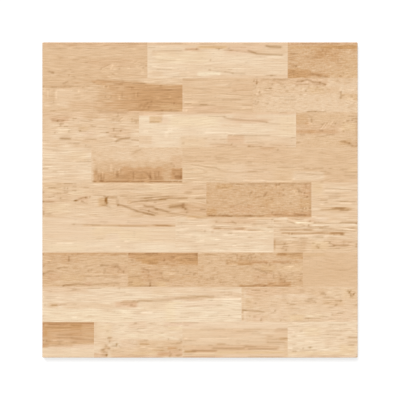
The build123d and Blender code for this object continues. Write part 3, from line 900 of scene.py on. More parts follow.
dashes(26, (219, 226, 23.7), (271, 283, 48.5), (275, 283, 43), (329, 352, 13), (345, 353, 45),
       (356, 362, 44), (367, 371, 39.8), (294, 305, 46.3), (349, 355, 38), (338, 347, 42.2),
       (303, 311, 24.2), (290, 294, 20.3))
dashes(-26, (270, 276, 17), (266, 272, 17.8), (350, 357, 20), (317, 321, 11), (304, 308, 39.7))
dots(48, (301.5, 1.5), (223, 42), (319.5, 15.3), (353.5, 15), (340.5, 38), (317, 47.6), (347, 34),
     (346, 41))
dots(40, (227, 34.5), (240, 36), (245, 38.5), (263, 12), (264, 15.5), (294, 5), (297, 3), (298, 6),
     (294, 8.5), (297, 10.2), (304, 6), (311.5, 8), (325, 18), (340, 33), (345, 37.6), (368.5, 40),
     (370.5, 30), (308, 34.4), (320, 29.7))
dots(32, (273.3, 35.7), (236, 38), (241.5, 38), (243.5, 36), (249.5, 35), (250, 28), (238, 15),
     (242, 12.2), (221, 40), (254, 42.4), (257.5, 42.6), (261, 42.2), (299, 8), (296, 13.5), (368, 31),
     (357, 29.3), (357, 32), (338, 30))
drips(28, (278, 3, 10), (281.5, 7, 11), (284, 4, 11), (286.7, 4, 11), (289.2, 4, 11), (291.5, 6, 11.5),
      wide=0.9)
drips(30, (246.5, 21, 26), (330, 31, 37.5), (324.8, 15, 20.5))
pore(26, 299, 21.8, 306, 23.6, 313, 26, 319, 28.8, wide=1.3)
pore(26, 311, 26.4, 318, 27, 325, 26, 331, 28.6, wide=1.2)
pore(26, 309, 35, 314, 36.6, 319, 37, wide=1.1)
pore(14, 293, 22, 289, 25, 287, 29.5)
pore(-20, 344, 22.4, 352, 20.2, 359, 18.8, wide=1.3)
pore(14, 340, 20.2, 346, 19, 352, 17.2)
tell()

# %% Strip 7, stave 4: even tan
stave(371.3, 450, 0.545, line=0.35, reach=24)
patch(371, 404, 0, 5.6, 0.46, 0.7, hue=-0.4)
patch(371, 402, 28, 48, 0.53, 0.6, soft=(8, 6))
patch(402, 432, 2, 40, 0.49, 0.5, soft=(8, 6))
patch(384, 448, 46, 60, 0.56, 0.7, soft=(8, 2))
pore(20, 417, 25, 434, 24.6, 443, 22.4)
tell()

# %% Strip 8, stave 1: pale sapwood with a rosy knot and a tan vein
strip(8, pore_strength=0.75)
stave(0, 284, 0.855, line=0.7, reach=34)
patch(0, 284, -6, 2.6, 0.66, 0.8, soft=(8, 1.5))
patch(0, 64, -6, 9, 0.67, 0.8, hue=0.3, soft=(12, 4))
patch(0, 40, 8, 22, 0.73, 0.6, hue=0.1, soft=(12, 5))
patch(8, 24, 22, 30, 0.66, 0.8, hue=-0.2, soft=(5, 4))
patch(12, 22, 25.2, 28, 0.36, 0.8, hue=-0.4, soft=(6, 2))
patch(22, 40, 23.6, 28, 0.72, 0.7, hue=0.7, soft=(6, 3))
patch(28, 104, 23, 31.4, 0.68, 0.7, hue=-0.1, soft=(8, 4))
patch(6, 130, 33, 50, 0.91, 0.7, hue=-0.3, soft=(12, 4))
patch(104, 136, 21.5, 29.5, 0.62, 0.85, hue=0.8, soft=(6, 3))
patch(114, 138, 19, 23, 0.56, 0.8, hue=0.2, soft=(5, 2))
patch(120, 134, 23.5, 29, 0.50, 0.7, hue=1.0, soft=(4, 2.5))
patch(134, 186, 17.4, 22.4, 0.69, 0.85, hue=-0.1, soft=(8, 2.6), lean=-2)
patch(140, 182, 22, 34, 0.78, 0.7, hue=-0.3, soft=(10, 4))
patch(176, 232, 14.5, 19.6, 0.66, 0.85, hue=0.4, soft=(14, 2.4), lean=-2)
patch(194, 246, 12.6, 16.6, 0.64, 0.85, hue=-0.1, soft=(12, 2), lean=-1.5)
patch(236, 284, 6.6, 15.4, 0.70, 0.8, hue=0.2, soft=(12, 3))
patch(140, 240, -6, 10, 0.76, 0.7, hue=0.2, soft=(12, 4))
patch(156, 186, 3, 13, 0.76, 0.7, hue=-0.3, soft=(5, 4))
patch(180, 204, 21.5, 24, 0.88, 0.8, hue=-0.9, soft=(4, 1.4))
patch(176, 190, 24, 50, 0.93, 0.7, hue=-0.7, soft=(6, 5))
patch(200, 250, 20.6, 30, 0.87, 0.7, hue=0.5, soft=(8, 4))
patch(190, 284, 29, 50, 0.90, 0.7, soft=(8, 4))
patch(256, 284, 17.5, 31, 0.92, 0.8, soft=(8, 4))
patch(281.6, 290, -6, 60, 0.97, 0.7, soft=(2, 3))
patch(176, 226, 4, 10, 0.73, 0.6, soft=(10, 3))
dashes(42, (42, 49, 4), (12, 21, 26.5), (128, 137, 21.6), wide=1.2)
dashes(32, (70, 84, 2.2), (48, 55, 4), (25, 35, 25.4), (42, 49, 25.4), (128, 134, 19.6),
       (111, 129, 22.5), (207, 220, 12.3), (128, 134, 28), (236, 243, 19.4), (236, 244, 41.6),
       (259, 266, 11), (265, 271, 11), (115, 121, 25.4))
dashes(24, (64, 71, 2), (8, 14, 6.8), (20, 27, 26.3), (48, 56, 19.5), (105, 119, 8), (117, 129, 12.3),
       (99, 114, 36.7), (116, 129, 45), (105, 112, 28.2), (136, 158, 20.2), (172, 180, 13.7),
       (3, 20, 15.6), (65, 71, 41), (128, 141, 37), (196, 209, 38.2), (196, 209, 43.8),
       (237, 259, 49.4), (253, 261, 8.5), (236, 262, 15), (248, 258, 26.8), (110, 119, 27),
       (208, 226, 36.8), (219, 237, 13.6), (196, 222, 15.8), (265, 271, 8), (242, 251, 41))
dashes(-28, (140, 158, 37), (245, 284, 17), (42, 49, 43.5), wide=1.1)
dots(36, (109.5, 2.2), (127, 25.5), (4.5, 25.5), (266.5, 41), (127, 27))
pore(26, 136, 20.2, 150, 20.4, 162, 19.9, 172, 18.8, 182, 17.8, 192, 16.8, wide=1.8)
pore(26, 190, 17, 202, 16, 214, 15.2, 226, 14, 246, 13.4, wide=1.8)
pore(14, 160, 21, 172, 20.6, 182, 20)
pore(24, 204, 27.9, 220, 27.4, 240, 26.5, 266, 26.5)
pore(26, 270, 32, 275, 33.8, 284, 34.1)
tell()

# %% Strip 8, stave 2: speckled peach
stave(284, 450, 0.69, line=0.7, reach=18, burl=0.06, wave=1.3)
patch(284, 288, -6, 50, 0.56, 0.8, hue=-0.1, soft=(2, 4))
patch(284, 400, -6, 6, 0.56, 0.8)
patch(300, 316, 10, 20, 0.59, 0.7, soft=(5, 4))
patch(386, 402, 3, 14, 0.55, 0.7, soft=(4, 4))
patch(290, 342, 2, 13, 0.56, 0.8, hue=0.5, soft=(10, 4))
patch(288, 302, 16, 30, 0.60, 0.7, hue=-0.4, soft=(6, 5))
patch(332, 396, 11.5, 16.4, 0.78, 0.85, hue=0.2, soft=(10, 3))
patch(322, 345, 27, 46, 0.72, 0.7, hue=0.2, soft=(6, 5))
patch(345, 400, -6, 9.5, 0.62, 0.7, soft=(10, 3))
patch(395, 408, 2, 9, 0.54, 0.7)
patch(400, 430, 18.5, 27, 0.56, 0.8, hue=-0.2, soft=(5, 3))
patch(408, 434, 2, 15, 0.72, 0.7, hue=-0.2, soft=(6, 4))
patch(360, 404, 26, 40, 0.74, 0.7, soft=(10, 5))
patch(352, 374, 40, 48, 0.74, 0.8, hue=-1.0, soft=(6, 4))
patch(374, 412, 39, 44, 0.86, 0.8, hue=-0.5, soft=(8, 2.5))
patch(402, 450, 41, 50, 0.76, 0.7, hue=0.3, soft=(8, 4))
patch(410, 446, 28, 40, 0.74, 0.7, hue=0.2, soft=(8, 4))
patch(300, 316, 41, 50, 0.66, 0.7, hue=0.6, soft=(4, 4))
patch(430, 446, 2, 17, 0.62, 0.6, hue=-0.6, soft=(4, 4))
patch(340, 374, 2, 9, 0.53, 0.7, hue=0.3, soft=(8, 3))
spot(393, 11, 7, 5, 0.48, 0.6)
patch(298, 322, 6, 28, 0.59, 0.5, hue=0.2, soft=(8, 6))
pore(56, 436, 5, 439, 9, 441, 14, wide=1.1)
pore(48, 446, 8, 443, 12, wide=1.1)
dashes(46, (396, 404, 9.8), (374, 381, 45), (379, 386, 17), (285, 292, 33.3), wide=1.2)
dashes(36, (355, 362, 20.7), (353, 362, 25.2), (374, 381, 21.3), (356, 369, 49.5), (380, 397, 45),
       (367, 374, 7), (400, 409, 15.6), (356, 364, 39.3), (408, 416, 29.6), (298, 312, 5),
       (417, 428, 19.7), (402, 410, 23))
dashes(27, (288, 312, 34.4), (310, 317, 35.7), (353, 368, 31.7), (368, 396, 49.7), (408, 416, 15.5),
       (384, 393, 16.5), (372, 387, 19.5), (325, 336, 26.6), (421, 429, 37.4), (395, 409, 42.5),
       (408, 426, 46.3), (419, 427, 11.8))
dashes(-26, (408, 420, 48), (287, 294, 36.4), (299, 302, 19.5))
dots(46, (349.5, 23.5), (286, 45.6), (441, 14), (443.5, 11), (438, 8.2), (317.5, 6.6), (418.5, 26.5),
     (332.5, 34.5), (312, 48))
dots(38, (435, 6.5), (440, 5.5), (312.5, 46), (320, 6.8), (404, 11.6), (420, 25.4), (303, 42.5),
     (304, 23.4), (448, 26), (340, 48.4), (387.5, 21), (390, 22.3), (414, 39.6), (285, 36), (426, 20),
     (295.5, 42))
pore(28, 285, 33.4, 296, 34.1, 306, 34.8, 317, 35.8, wide=1.1)
pore(16, 288, 1.5, 290, 4, 293, 6.8)
pore(20, 333, 32, 331, 36, 324, 38.6)
pore(24, 419, 38.6, 424, 37.1, 431, 36.8)
pore(18, 412, 15, 415, 15.4, 418, 18)
tell()

# %% Strip 9, stave 1: a brown stained end
strip(9, pore_strength=0.8)
stave(0, 75, 0.84, line=0.45, reach=36)
patch(-6, 44, 0.6, 36, 0.31, 0.95, hue=0.0, soft=(3, 3), ragged=0.5)
patch(16, 78.5, 0.6, 32, 0.31, 0.95, hue=-0.2, soft=(3, 2))
patch(-6, 3, 0.6, 37, 0.24, 0.8, hue=0.6, soft=(1.5, 2))
patch(3, 7.6, 11, 21, 0.20, 0.8, hue=-1.0, soft=(2, 4))
patch(-6, 10, 30.4, 34.4, 0.24, 0.8, hue=0.8, soft=(5, 2))
patch(2, 76, 0.6, 3, 0.18, 0.9, hue=0.3, soft=(3, 1))
patch(6, 38, 2.6, 5.4, 0.20, 0.85, hue=0.6, soft=(5, 1.6))
patch(56, 80, 1.6, 6, 0.22, 0.85, hue=1.0, soft=(5, 2))
patch(4, 34, 5.8, 7.4, 0.34, 0.8, hue=-0.4, soft=(4, 1.2))
patch(2, 42, 7.4, 9.2, 0.17, 0.85, hue=-0.6, soft=(5, 1.2))
patch(40, 57, 3, 9.6, 0.15, 0.85, hue=-0.5, soft=(3, 2))
patch(55, 75, 5.6, 9.4, 0.22, 0.85, hue=-0.6, soft=(4, 2))
patch(8, 22, 14.6, 22, 0.36, 0.7, soft=(6, 3))
patch(40, 56, 9, 24, 0.20, 0.6, hue=-0.2, soft=(5, 4))
patch(70, 76, 5, 31, 0.32, 0.6, soft=(3, 3))
patch(-6, 78, 21, 33, 0.42, 0.8, soft=(4, 6))
patch(6, 24, 18, 30, 0.31, 0.7, soft=(4, 4))
patch(56, 78, 4, 21, 0.36, 0.7, soft=(6, 5))
patch(44, 76, 23.4, 27, 0.38, 0.7, hue=0.3, soft=(8, 2), lean=1.5)
patch(12, 44, 24, 29, 0.46, 0.8, hue=0.4, soft=(6, 2.5))
patch(42, 74, 27.4, 29.6, 0.36, 0.7, hue=0.3, soft=(8, 1.6))
patch(10, 76, 33, 38, 0.72, 0.6, hue=0.7, soft=(14, 3))
patch(4, 75, 39.6, 60, 0.80, 0.8, hue=-0.1, soft=(6, 3))
patch(-6, 5, 37, 60, 0.78, 0.7, hue=-0.2, soft=(3, 3))
patch(58, 80, 44, 60, 0.80, 0.7, soft=(6, 3))
patch(14, 58, 12, 26, 0.38, 0.6, hue=0.5, soft=(8, 5))
dashes(34, (8, 26, 3.7), (4, 42, 8.2), (20, 43, 18.3), (42, 49, 29.3), (0, 9, 32), (5, 14, 28),
       (2, 75, 1.6))
dashes(24, (24, 36, 4.6), (20, 43, 22.5), (12, 22, 33.7), (20, 32, 33), (20, 29, 27.3), (3, 10, 36.5),
       (42, 58, 5.6))
dashes(-22, (31, 38, 27.7), (20, 31, 24.6), (14, 21, 26), (14, 31, 11.5))
dots(36, (25, 31), (2, 26.5), (6, 26.6), (2, 4))
pore(22, 40, 22.6, 55, 24.6, 75, 26.6, wide=1.5)
pore(-18, 31, 6.4, 35, 4.4, 40, 3)
tell()

# %% Strip 9, stave 2: pale wood with dark specks
stave(75, 200, 0.81, line=0.6, reach=20, wave=1.4)
patch(75, 77.6, -6, 33, 0.62, 0.7, soft=(2.5, 3))
patch(77, 100, 4, 22, 0.82, 0.7, hue=-0.6, soft=(6, 5))
spot(91, 37, 5, 4, 0.32, 0.7)
spot(87, 43, 5, 4, 0.36, 0.6)
spot(97, 25, 3, 3, 0.50, 0.6)
patch(77, 92, 22, 36, 0.76, 0.7, hue=-0.2, soft=(5, 5))
patch(116, 148, -6, 9.6, 0.76, 0.8, hue=0.3)
patch(98, 124, 1, 20, 0.88, 0.7, soft=(8, 4))
patch(116, 182, 17, 23, 0.90, 0.8, hue=-0.3, soft=(12, 3))
patch(112, 145, 25, 40, 0.72, 0.8, hue=0.3, soft=(8, 4))
patch(134, 202, 25.6, 46, 0.60, 0.85, hue=-0.2, soft=(12, 4), lean=1)
patch(170, 202, 28, 46, 0.54, 0.8, soft=(10, 4))
patch(97, 142, 37, 60, 0.64, 0.85, hue=-0.1, soft=(6, 4))
patch(128, 166, 43, 47, 0.62, 0.8, hue=-0.9, soft=(8, 2))
patch(100, 172, 46.6, 60, 0.56, 0.8, hue=0.7, soft=(8, 2))
patch(164, 183, 43, 49, 0.40, 0.85, hue=1.0, soft=(5, 2.4))
patch(180, 202, 41, 50, 0.48, 0.8, hue=0.9)
patch(71, 92, 44.6, 60, 0.60, 0.8, hue=0.6, soft=(6, 2))
patch(139, 152.6, 30.2, 33.4, 0.38, 0.85, hue=-0.3, soft=(3, 1.4))
patch(178.5, 192, 35.8, 39.6, 0.26, 0.9, hue=0.2, soft=(2.5, 1.4))
patch(157, 174, 38.6, 42, 0.46, 0.8, hue=-0.5, soft=(6, 2))
patch(174, 202, 1.6, 6, 0.78, 0.8, hue=1.0, soft=(8, 2))
patch(180, 200, 6.6, 12, 0.84, 0.7, hue=-0.8, soft=(6, 2.5))
patch(77, 92, 12, 34, 0.71, 0.6, soft=(5, 5))
dashes(42, (87, 94, 43.4), (84, 94, 46.8), (191, 198, 48), (131, 135, 2.1), (93, 100, 22.6), wide=1.2)
dashes(30, (182, 200, 1.2), (99, 106, 35.2), (163, 174, 36.5), (168, 174, 40.8), (109, 118, 5),
       (168, 174, 16.5), (173, 180, 6.6), (128, 135, 32), (139, 152, 32), (145, 151, 26.7),
       (191, 198, 30.5), (98, 107, 33.3), (122, 131, 27.7))
dashes(20, (83, 88, 43.5), (82, 87, 40), (72, 85, 46.8), (84, 93, 48.6), (100, 111, 42.8),
       (117, 123, 13.8), (122, 129, 31.2), (154, 163, 4), (150, 158, 2), (99, 107, 31.5),
       (112, 146, 48), (151, 158, 43), (185, 198, 31.3), (191, 197, 39.5))
dashes(-22, (80, 93, 45.2), (140, 147, 36), (151, 158, 38), (136, 145, 12))
dots(50, (91, 34.4), (95, 38), (87.5, 40), (91.6, 47.5), (182, 48.4), (96, 28.4), size=1.7)
dots(34, (95, 24), (85, 40.2), (93, 13.5), (182, 43), (184, 46), (197, 25.5), (199, 28.5), (106, 32),
     (196.5, 40), (180, 25))
drips(26, (106, 31, 36.5), (91.7, 45, 50), (95.2, 36, 40), (199, 24, 30))
pore(30, 107.6, 31, 109.5, 34, 112.4, 37.2)
pore(32, 133.6, 10.8, 139, 9.3, 145.6, 10.7)
pore(28, 134, 13.2, 139, 14.2, 146, 14.4)
pore(14, 98, 30.5, 101, 28, 106, 26)
tell()

# %% Strip 9, stave 3: rosy tan with an amber vein
stave(200, 350.3, 0.695, line=0.45, reach=60)
patch(200, 350, -6, 9.4, 0.84, 0.85, hue=0.2, soft=(8, 3))
patch(200, 216, 1.4, 6, 0.78, 0.7, hue=0.9, soft=(6, 2))
patch(202, 236, 10, 20, 0.74, 0.6, hue=-0.2, soft=(8, 4))
patch(240, 300, 11, 21, 0.63, 0.6, hue=0.2, soft=(10, 4))
patch(332, 356, 9, 16, 0.62, 0.8, hue=0.3, soft=(6, 3))
patch(214, 300, 22.4, 25, 0.70, 0.7, soft=(14, 1.6))
patch(318, 356, 16, 31, 0.62, 0.7, hue=0.1, soft=(8, 4))
patch(338, 356, 21.8, 26.6, 0.40, 0.8, hue=-0.3, soft=(5, 2))
patch(200, 216, 33, 40, 0.52, 0.8)
patch(212, 300, 34.5, 42.6, 0.53, 0.85, hue=0.4, soft=(10, 2.5), lean=-2)
patch(202, 222, 40.6, 44, 0.30, 0.9, hue=-0.9, soft=(4, 1.6))
patch(214, 250, 40.4, 43.8, 0.38, 0.9, hue=0.6, soft=(6, 1.6))
patch(240, 292, 37, 41, 0.46, 0.9, hue=0.1, soft=(6, 1.6))
patch(286, 338, 34, 40, 0.50, 0.85, hue=0.3, soft=(6, 2))
patch(246, 262, 30.6, 34, 0.56, 0.8, soft=(4, 1.6))
patch(212, 250, 43.8, 46, 0.66, 0.8, hue=-0.4, soft=(8, 1.4))
patch(250, 346, 41.6, 46.4, 0.65, 0.85, hue=-1.0, soft=(10, 2))
patch(256, 346, 46.2, 49, 0.76, 0.85, hue=0.9, soft=(10, 1.4))
patch(200, 258, 48, 60, 0.56, 0.85, hue=0.9, soft=(6, 1.4))
patch(256, 350, 49, 60, 0.66, 0.8, hue=0.3, soft=(6, 1))
patch(345, 354, 30, 60, 0.60, 0.7, hue=-0.2, soft=(3, 3))
dashes(38, (242, 289, 37.7), (203, 220, 42.3), (213, 249, 41.2), (293, 336, 38.7), (288, 305, 35.3),
       (320, 346, 29.4), wide=1.1)
dashes(38, (344, 352, 23.6))
dashes(28, (249, 261, 31.6), (249, 267, 33), (333, 346, 24.4), (225, 261, 10.6), (287, 312, 10.8),
       (334, 352, 9.7), (298, 312, 16.5), (202, 220, 26.8), (320, 329, 21), (200, 223, 1.3),
       (202, 209, 5.2), (293, 346, 49.4), (236, 244, 33.5))
dashes(20, (276, 308, 13.8), (276, 295, 26.8), (292, 323, 28.5), (213, 226, 33.3), (340, 352, 11.5),
       (320, 335, 25.2), (200, 247, 49.6), (304, 324, 34.6), (330, 352, 13), (265, 294, 33.3),
       (225, 263, 22.1), (276, 283, 31), (202, 214, 46.4), (344, 350, 30.3))
dashes(-34, (202, 208, 23.7), wide=1.2)
dashes(-20, (224, 267, 23.8), (217, 246, 44.8), (203, 220, 35.5))
tell()

# %% Strip 9, stave 4: pale straw
stave(350.3, 450, 0.85, line=0.7, reach=24)
patch(350, 358, 8, 18, 0.86, 0.7, hue=0.5, soft=(4, 4))
patch(374, 396, 8, 20, 0.85, 0.7, hue=-0.7, soft=(6, 4))
patch(404, 436, 11, 14.4, 0.76, 0.7, soft=(6, 1.6))
patch(352, 366, 22, 36, 0.87, 0.7, soft=(5, 5))
patch(404, 440, 22, 36, 0.78, 0.7, hue=0.1, soft=(10, 5))
patch(424, 446, 32, 47, 0.78, 0.8, hue=-0.8, soft=(6, 4))
patch(350, 426, 42.4, 46.6, 0.82, 0.8, hue=-0.8, soft=(8, 2))
patch(372, 446, 47, 60, 0.74, 0.8, hue=0.5, soft=(8, 1.6))
patch(350, 374, 47, 49.6, 0.86, 0.8, hue=0.5, soft=(6, 1.4))
patch(350, 374, 49.6, 60, 0.74, 0.8, hue=-0.6, soft=(3, 1))
patch(434, 450, 20, 35, 0.72, 0.7, hue=-0.1, soft=(5, 4))
dashes(40, (436, 450, 22.3), (356, 363, 42.2), (379, 386, 36.4), (436, 445, 33), wide=1.1)
dashes(30, (413, 436, 3.8), (357, 368, 38.2), (402, 409, 36.7), (413, 427, 12.8), (436, 449, 28.7),
       (373, 392, 40.6), (424, 431, 25), (367, 373, 40.8))
dashes(22, (351, 373, 6.7), (408, 414, 6.5), (404, 427, 18), (396, 420, 22.4), (356, 362, 21.3),
       (408, 414, 3.7), (404, 414, 13.2), (440, 446, 13.4), (425, 435, 12.4), (356, 362, 32.7))
dashes(-26, (356, 362, 15), (374, 386, 28), (362, 368, 19.7), (356, 364, 1.7), (350, 357, 37.8),
       (440, 447, 9.6))
dots(40, (372, 38), (369, 13.6), (448.5, 49.4), (382, 37))
pore(22, 372, 49.5, 392, 48.8, 409, 48.3, 432, 48)
tell()

# %% Count the drawing
print(f"{len(staves)} staves, {len(marks)} stains and {len(pores)} pores drawn")

# %% [markdown]
# ## The slab, as a tree of Geometry Nodes
# The slab follows a rule: a square with small round corners, an eased edge round the face, an
# upright side, a bevel round the back, and the same pocket repeated over the back. A rule suits
# Geometry Nodes. The tree lays a grid for the face, pulls its border out and down ring by ring,
# instances one pocket cell over the back, and fills the plain rim between the two. It could be
# modelled by hand with Inset and Bevel, but then a change of size would mean starting again.

# %% Sizes that the tree takes as named inputs
# Millimetres, and degrees for the draft
CORNER_RADIUS = 1.0
FACE_EDGE_RADIUS = 0.8
BACK_BEVEL = 0.8
POCKETS_PER_SIDE = 16
RIB_WIDTH = 4.0
RIM_WIDTH = 11.0
POCKET_DEPTH = 0.8
POCKET_DRAFT = 30.0
POCKET_CORNER_CUT = 2.5
GRID_ALONG = 2.0  # one cell of the face's grid, along the print's grain
GRID_ACROSS = 1.25  # and across it, where the marks are finest
EDGE_STEPS = 3  # flat steps round the eased edge
WELD = 0.01  # points nearer than this become one

tile_tree = bpy.data.node_groups.new("PressedTile", "GeometryNodeTree")
tile_tree.interface.new_socket("Geometry", in_out="OUTPUT", socket_type="NodeSocketGeometry")
TILE_INPUTS = {
    "Side": SIDE * MM,
    "Thickness": THICKNESS * MM,
    "Corner Radius": CORNER_RADIUS * MM,
    "Face Edge Radius": FACE_EDGE_RADIUS * MM,
    "Back Bevel": BACK_BEVEL * MM,
    "Rib Width": RIB_WIDTH * MM,
    "Rim Width": RIM_WIDTH * MM,
    "Pocket Depth": POCKET_DEPTH * MM,
    "Pocket Lean": POCKET_DEPTH * math.tan(math.radians(POCKET_DRAFT)) * MM,
    "Pocket Corner Cut": POCKET_CORNER_CUT * MM,
    "Pockets Per Side": POCKETS_PER_SIDE,
    "Columns": round(SIDE / GRID_ALONG),
    "Rows": round(SIDE / GRID_ACROSS),
}
sockets = {}
for name, value in TILE_INPUTS.items():
    kind = "NodeSocketInt" if isinstance(value, int) else "NodeSocketFloat"
    sockets[name] = tile_tree.interface.new_socket(name, in_out="INPUT", socket_type=kind)
print("tree inputs:", ", ".join(sockets))


# %% Helpers for building any node tree
def add(tree, kind, inputs=None, **settings):
    """Adds a node, applies its settings, and fills or links the inputs that are named or numbered."""
    made = tree.nodes.new(kind)
    for name, value in settings.items():
        setattr(made, name, value)
    for name, value in (inputs or {}).items():
        if isinstance(value, bpy.types.NodeSocket):
            tree.links.new(value, made.inputs[name])
        else:
            made.inputs[name].default_value = value
    return made


def sum_of(tree, operation, a, b=0.0, c=0.0):
    """One Math node, as a socket."""
    return add(tree, "ShaderNodeMath", {0: a, 1: b, 2: c}, operation=operation).outputs[0]


def vector_of(tree, operation, a, b):
    """One Vector Math node, as a socket."""
    return add(tree, "ShaderNodeVectorMath", {0: a, 1: b}, operation=operation).outputs[0]


group = add(tile_tree, "NodeGroupInput")
given = {name: group.outputs[name] for name in TILE_INPUTS}
print("helpers ready")

# %% [markdown]
# ### Face and edges
# Each border point of the grid knows two things: the nearest point of a smaller square, and the
# way out from it. Going out by the corner radius from there gives a square with round corners,
# and a smaller step gives the same outline set in. So one formula places every ring of the
# edge: the flat face's rim, the eased arris, the side and the bevel.

# %% The face grid, with its way out stored on the points
half = sum_of(tile_tree, "MULTIPLY", given["Side"], 0.5)
reach = sum_of(tile_tree, "SUBTRACT", half, given["Corner Radius"])
back_reach = sum_of(tile_tree, "MULTIPLY", reach, -1.0)
grid = add(tile_tree, "GeometryNodeMeshGrid", {
    "Size X": given["Side"],
    "Size Y": given["Side"],
    "Vertices X": sum_of(tile_tree, "ADD", given["Columns"], 1.0),
    "Vertices Y": sum_of(tile_tree, "ADD", given["Rows"], 1.0),
})
here = add(tile_tree, "GeometryNodeInputPosition").outputs[0]
apart = add(tile_tree, "ShaderNodeSeparateXYZ", {0: here})
limit = {"Min": back_reach, "Max": reach}
core = add(tile_tree, "ShaderNodeCombineXYZ", {
    "X": add(tile_tree, "ShaderNodeClamp", {"Value": apart.outputs["X"], **limit}).outputs[0],
    "Y": add(tile_tree, "ShaderNodeClamp", {"Value": apart.outputs["Y"], **limit}).outputs[0],
}).outputs[0]
outward = vector_of(tile_tree, "NORMALIZE", vector_of(tile_tree, "SUBTRACT", here, core), (0, 0, 0))
capture = add(tile_tree, "GeometryNodeCaptureAttribute", {"Geometry": grid.outputs["Mesh"]})
capture.capture_items.new("VECTOR", "Core")
capture.capture_items.new("VECTOR", "Outward")
tile_tree.links.new(core, capture.inputs["Core"])
tile_tree.links.new(outward, capture.inputs["Outward"])
print("face grid:", TILE_INPUTS["Columns"], "by", TILE_INPUTS["Rows"], "cells")


# %% Rings: rim of the flat face, eased arris, side, bevel
def ring_place(inset, height):
    """Where the border points go for a ring set in by a distance, at a height."""
    step = sum_of(tile_tree, "SUBTRACT", given["Corner Radius"], inset)
    out = add(tile_tree, "ShaderNodeVectorMath", {0: capture.outputs["Outward"], "Scale": step},
              operation="SCALE").outputs[0]
    flat = vector_of(tile_tree, "ADD", capture.outputs["Core"], out)
    rise = add(tile_tree, "ShaderNodeCombineXYZ", {"Z": height}).outputs[0]
    return vector_of(tile_tree, "ADD", flat, rise)


lift = add(tile_tree, "ShaderNodeCombineXYZ", {"Z": given["Thickness"]}).outputs[0]
slab = add(tile_tree, "GeometryNodeSetPosition", {
    "Geometry": capture.outputs["Geometry"], "Offset": lift}).outputs[0]
neighbours = add(tile_tree, "GeometryNodeInputMeshEdgeNeighbors").outputs[0]
border = add(tile_tree, "FunctionNodeCompare", {2: neighbours, 3: 1}, data_type="INT",
             operation="EQUAL").outputs[0]
slab = add(tile_tree, "GeometryNodeSetPosition", {
    "Geometry": slab, "Selection": border,
    "Position": ring_place(given["Face Edge Radius"], given["Thickness"])}).outputs[0]

rings = []
for step in range(1, EDGE_STEPS + 1):
    turn = math.pi / 2 * step / EDGE_STEPS
    drop = sum_of(tile_tree, "MULTIPLY", given["Face Edge Radius"], 1 - math.cos(turn))
    rings.append((
        sum_of(tile_tree, "MULTIPLY", given["Face Edge Radius"], 1 - math.sin(turn)),
        sum_of(tile_tree, "SUBTRACT", given["Thickness"], drop)))
rings.append((0.0, given["Back Bevel"]))
rings.append((given["Back Bevel"], 0.0))
edge = border
for inset, height in rings:
    pulled = add(tile_tree, "GeometryNodeExtrudeMesh", {
        "Mesh": slab, "Selection": edge, "Offset Scale": 0.0}, mode="EDGES")
    edge = pulled.outputs["Top"]
    slab = add(tile_tree, "GeometryNodeSetPosition", {
        "Geometry": pulled.outputs["Mesh"], "Selection": edge,
        "Position": ring_place(inset, height)}).outputs[0]
print(len(rings), "rings below the face")

# %% [markdown]
# ### The keyed back
# One cell of the waffle is a square of rib with an eight-sided pocket in it. Fill Curve makes
# the rib from the two outlines, and an extruded, shrunk copy of the inner outline makes the
# leaning walls and the floor. Instance on Points repeats the cell, Realize Instances turns the
# copies into real faces, and Merge by Distance welds neighbours together.

# %% Outlines of one cell and of its pocket
both_rims = sum_of(tile_tree, "MULTIPLY", given["Rim Width"], 2.0)
clear = sum_of(tile_tree, "SUBTRACT", given["Side"], both_rims)
pitch = sum_of(tile_tree, "DIVIDE", sum_of(tile_tree, "ADD", clear, given["Rib Width"]),
               given["Pockets Per Side"])
mouth = sum_of(tile_tree, "SUBTRACT", pitch, given["Rib Width"])


def square(side):
    """A square outline round the origin."""
    made = add(tile_tree, "GeometryNodeCurvePrimitiveQuadrilateral", {"Width": side, "Height": side})
    return made.outputs[0]


cell_line = square(pitch)
mouth_line = add(tile_tree, "GeometryNodeFilletCurve", {
    "Curve": square(mouth), "Count": 1, "Radius": given["Pocket Corner Cut"]}, mode="POLY").outputs[0]
print("cell outlined")


# %% One cell, repeated over the back
def joined(*parts):
    """Join Geometry of several sockets."""
    made = tile_tree.nodes.new("GeometryNodeJoinGeometry")
    for part in parts:
        tile_tree.links.new(part, made.inputs[0])
    return made.outputs[0]


rib = add(tile_tree, "GeometryNodeFillCurve", {
    "Curve": joined(cell_line, mouth_line)}, mode="TRIANGLES")
floor_face = add(tile_tree, "GeometryNodeFillCurve", {"Curve": mouth_line}, mode="NGONS")
depth = add(tile_tree, "ShaderNodeCombineXYZ", {"Z": given["Pocket Depth"]}).outputs[0]
sunk = add(tile_tree, "GeometryNodeExtrudeMesh", {
    "Mesh": floor_face.outputs[0], "Offset": depth, "Offset Scale": 1.0}, mode="FACES")
lean_both = sum_of(tile_tree, "MULTIPLY", given["Pocket Lean"], 2.0)
shrink = sum_of(tile_tree, "SUBTRACT", 1.0, sum_of(tile_tree, "DIVIDE", lean_both, mouth))
pocket = add(tile_tree, "GeometryNodeScaleElements", {
    "Geometry": sunk.outputs["Mesh"], "Selection": sunk.outputs["Top"], "Scale": shrink}, domain="FACE")
span = sum_of(tile_tree, "SUBTRACT", clear, mouth)
places = add(tile_tree, "GeometryNodeMeshGrid", {
    "Size X": span, "Size Y": span,
    "Vertices X": given["Pockets Per Side"], "Vertices Y": given["Pockets Per Side"]})
cells = add(tile_tree, "GeometryNodeInstanceOnPoints", {
    "Points": places.outputs["Mesh"], "Instance": joined(rib.outputs[0], pocket.outputs[0])})
copies = add(tile_tree, "GeometryNodeRealizeInstances", {"Geometry": cells.outputs[0]})
waffle = add(tile_tree, "GeometryNodeMergeByDistance", {
    "Geometry": copies.outputs[0], "Distance": WELD * MM}).outputs[0]
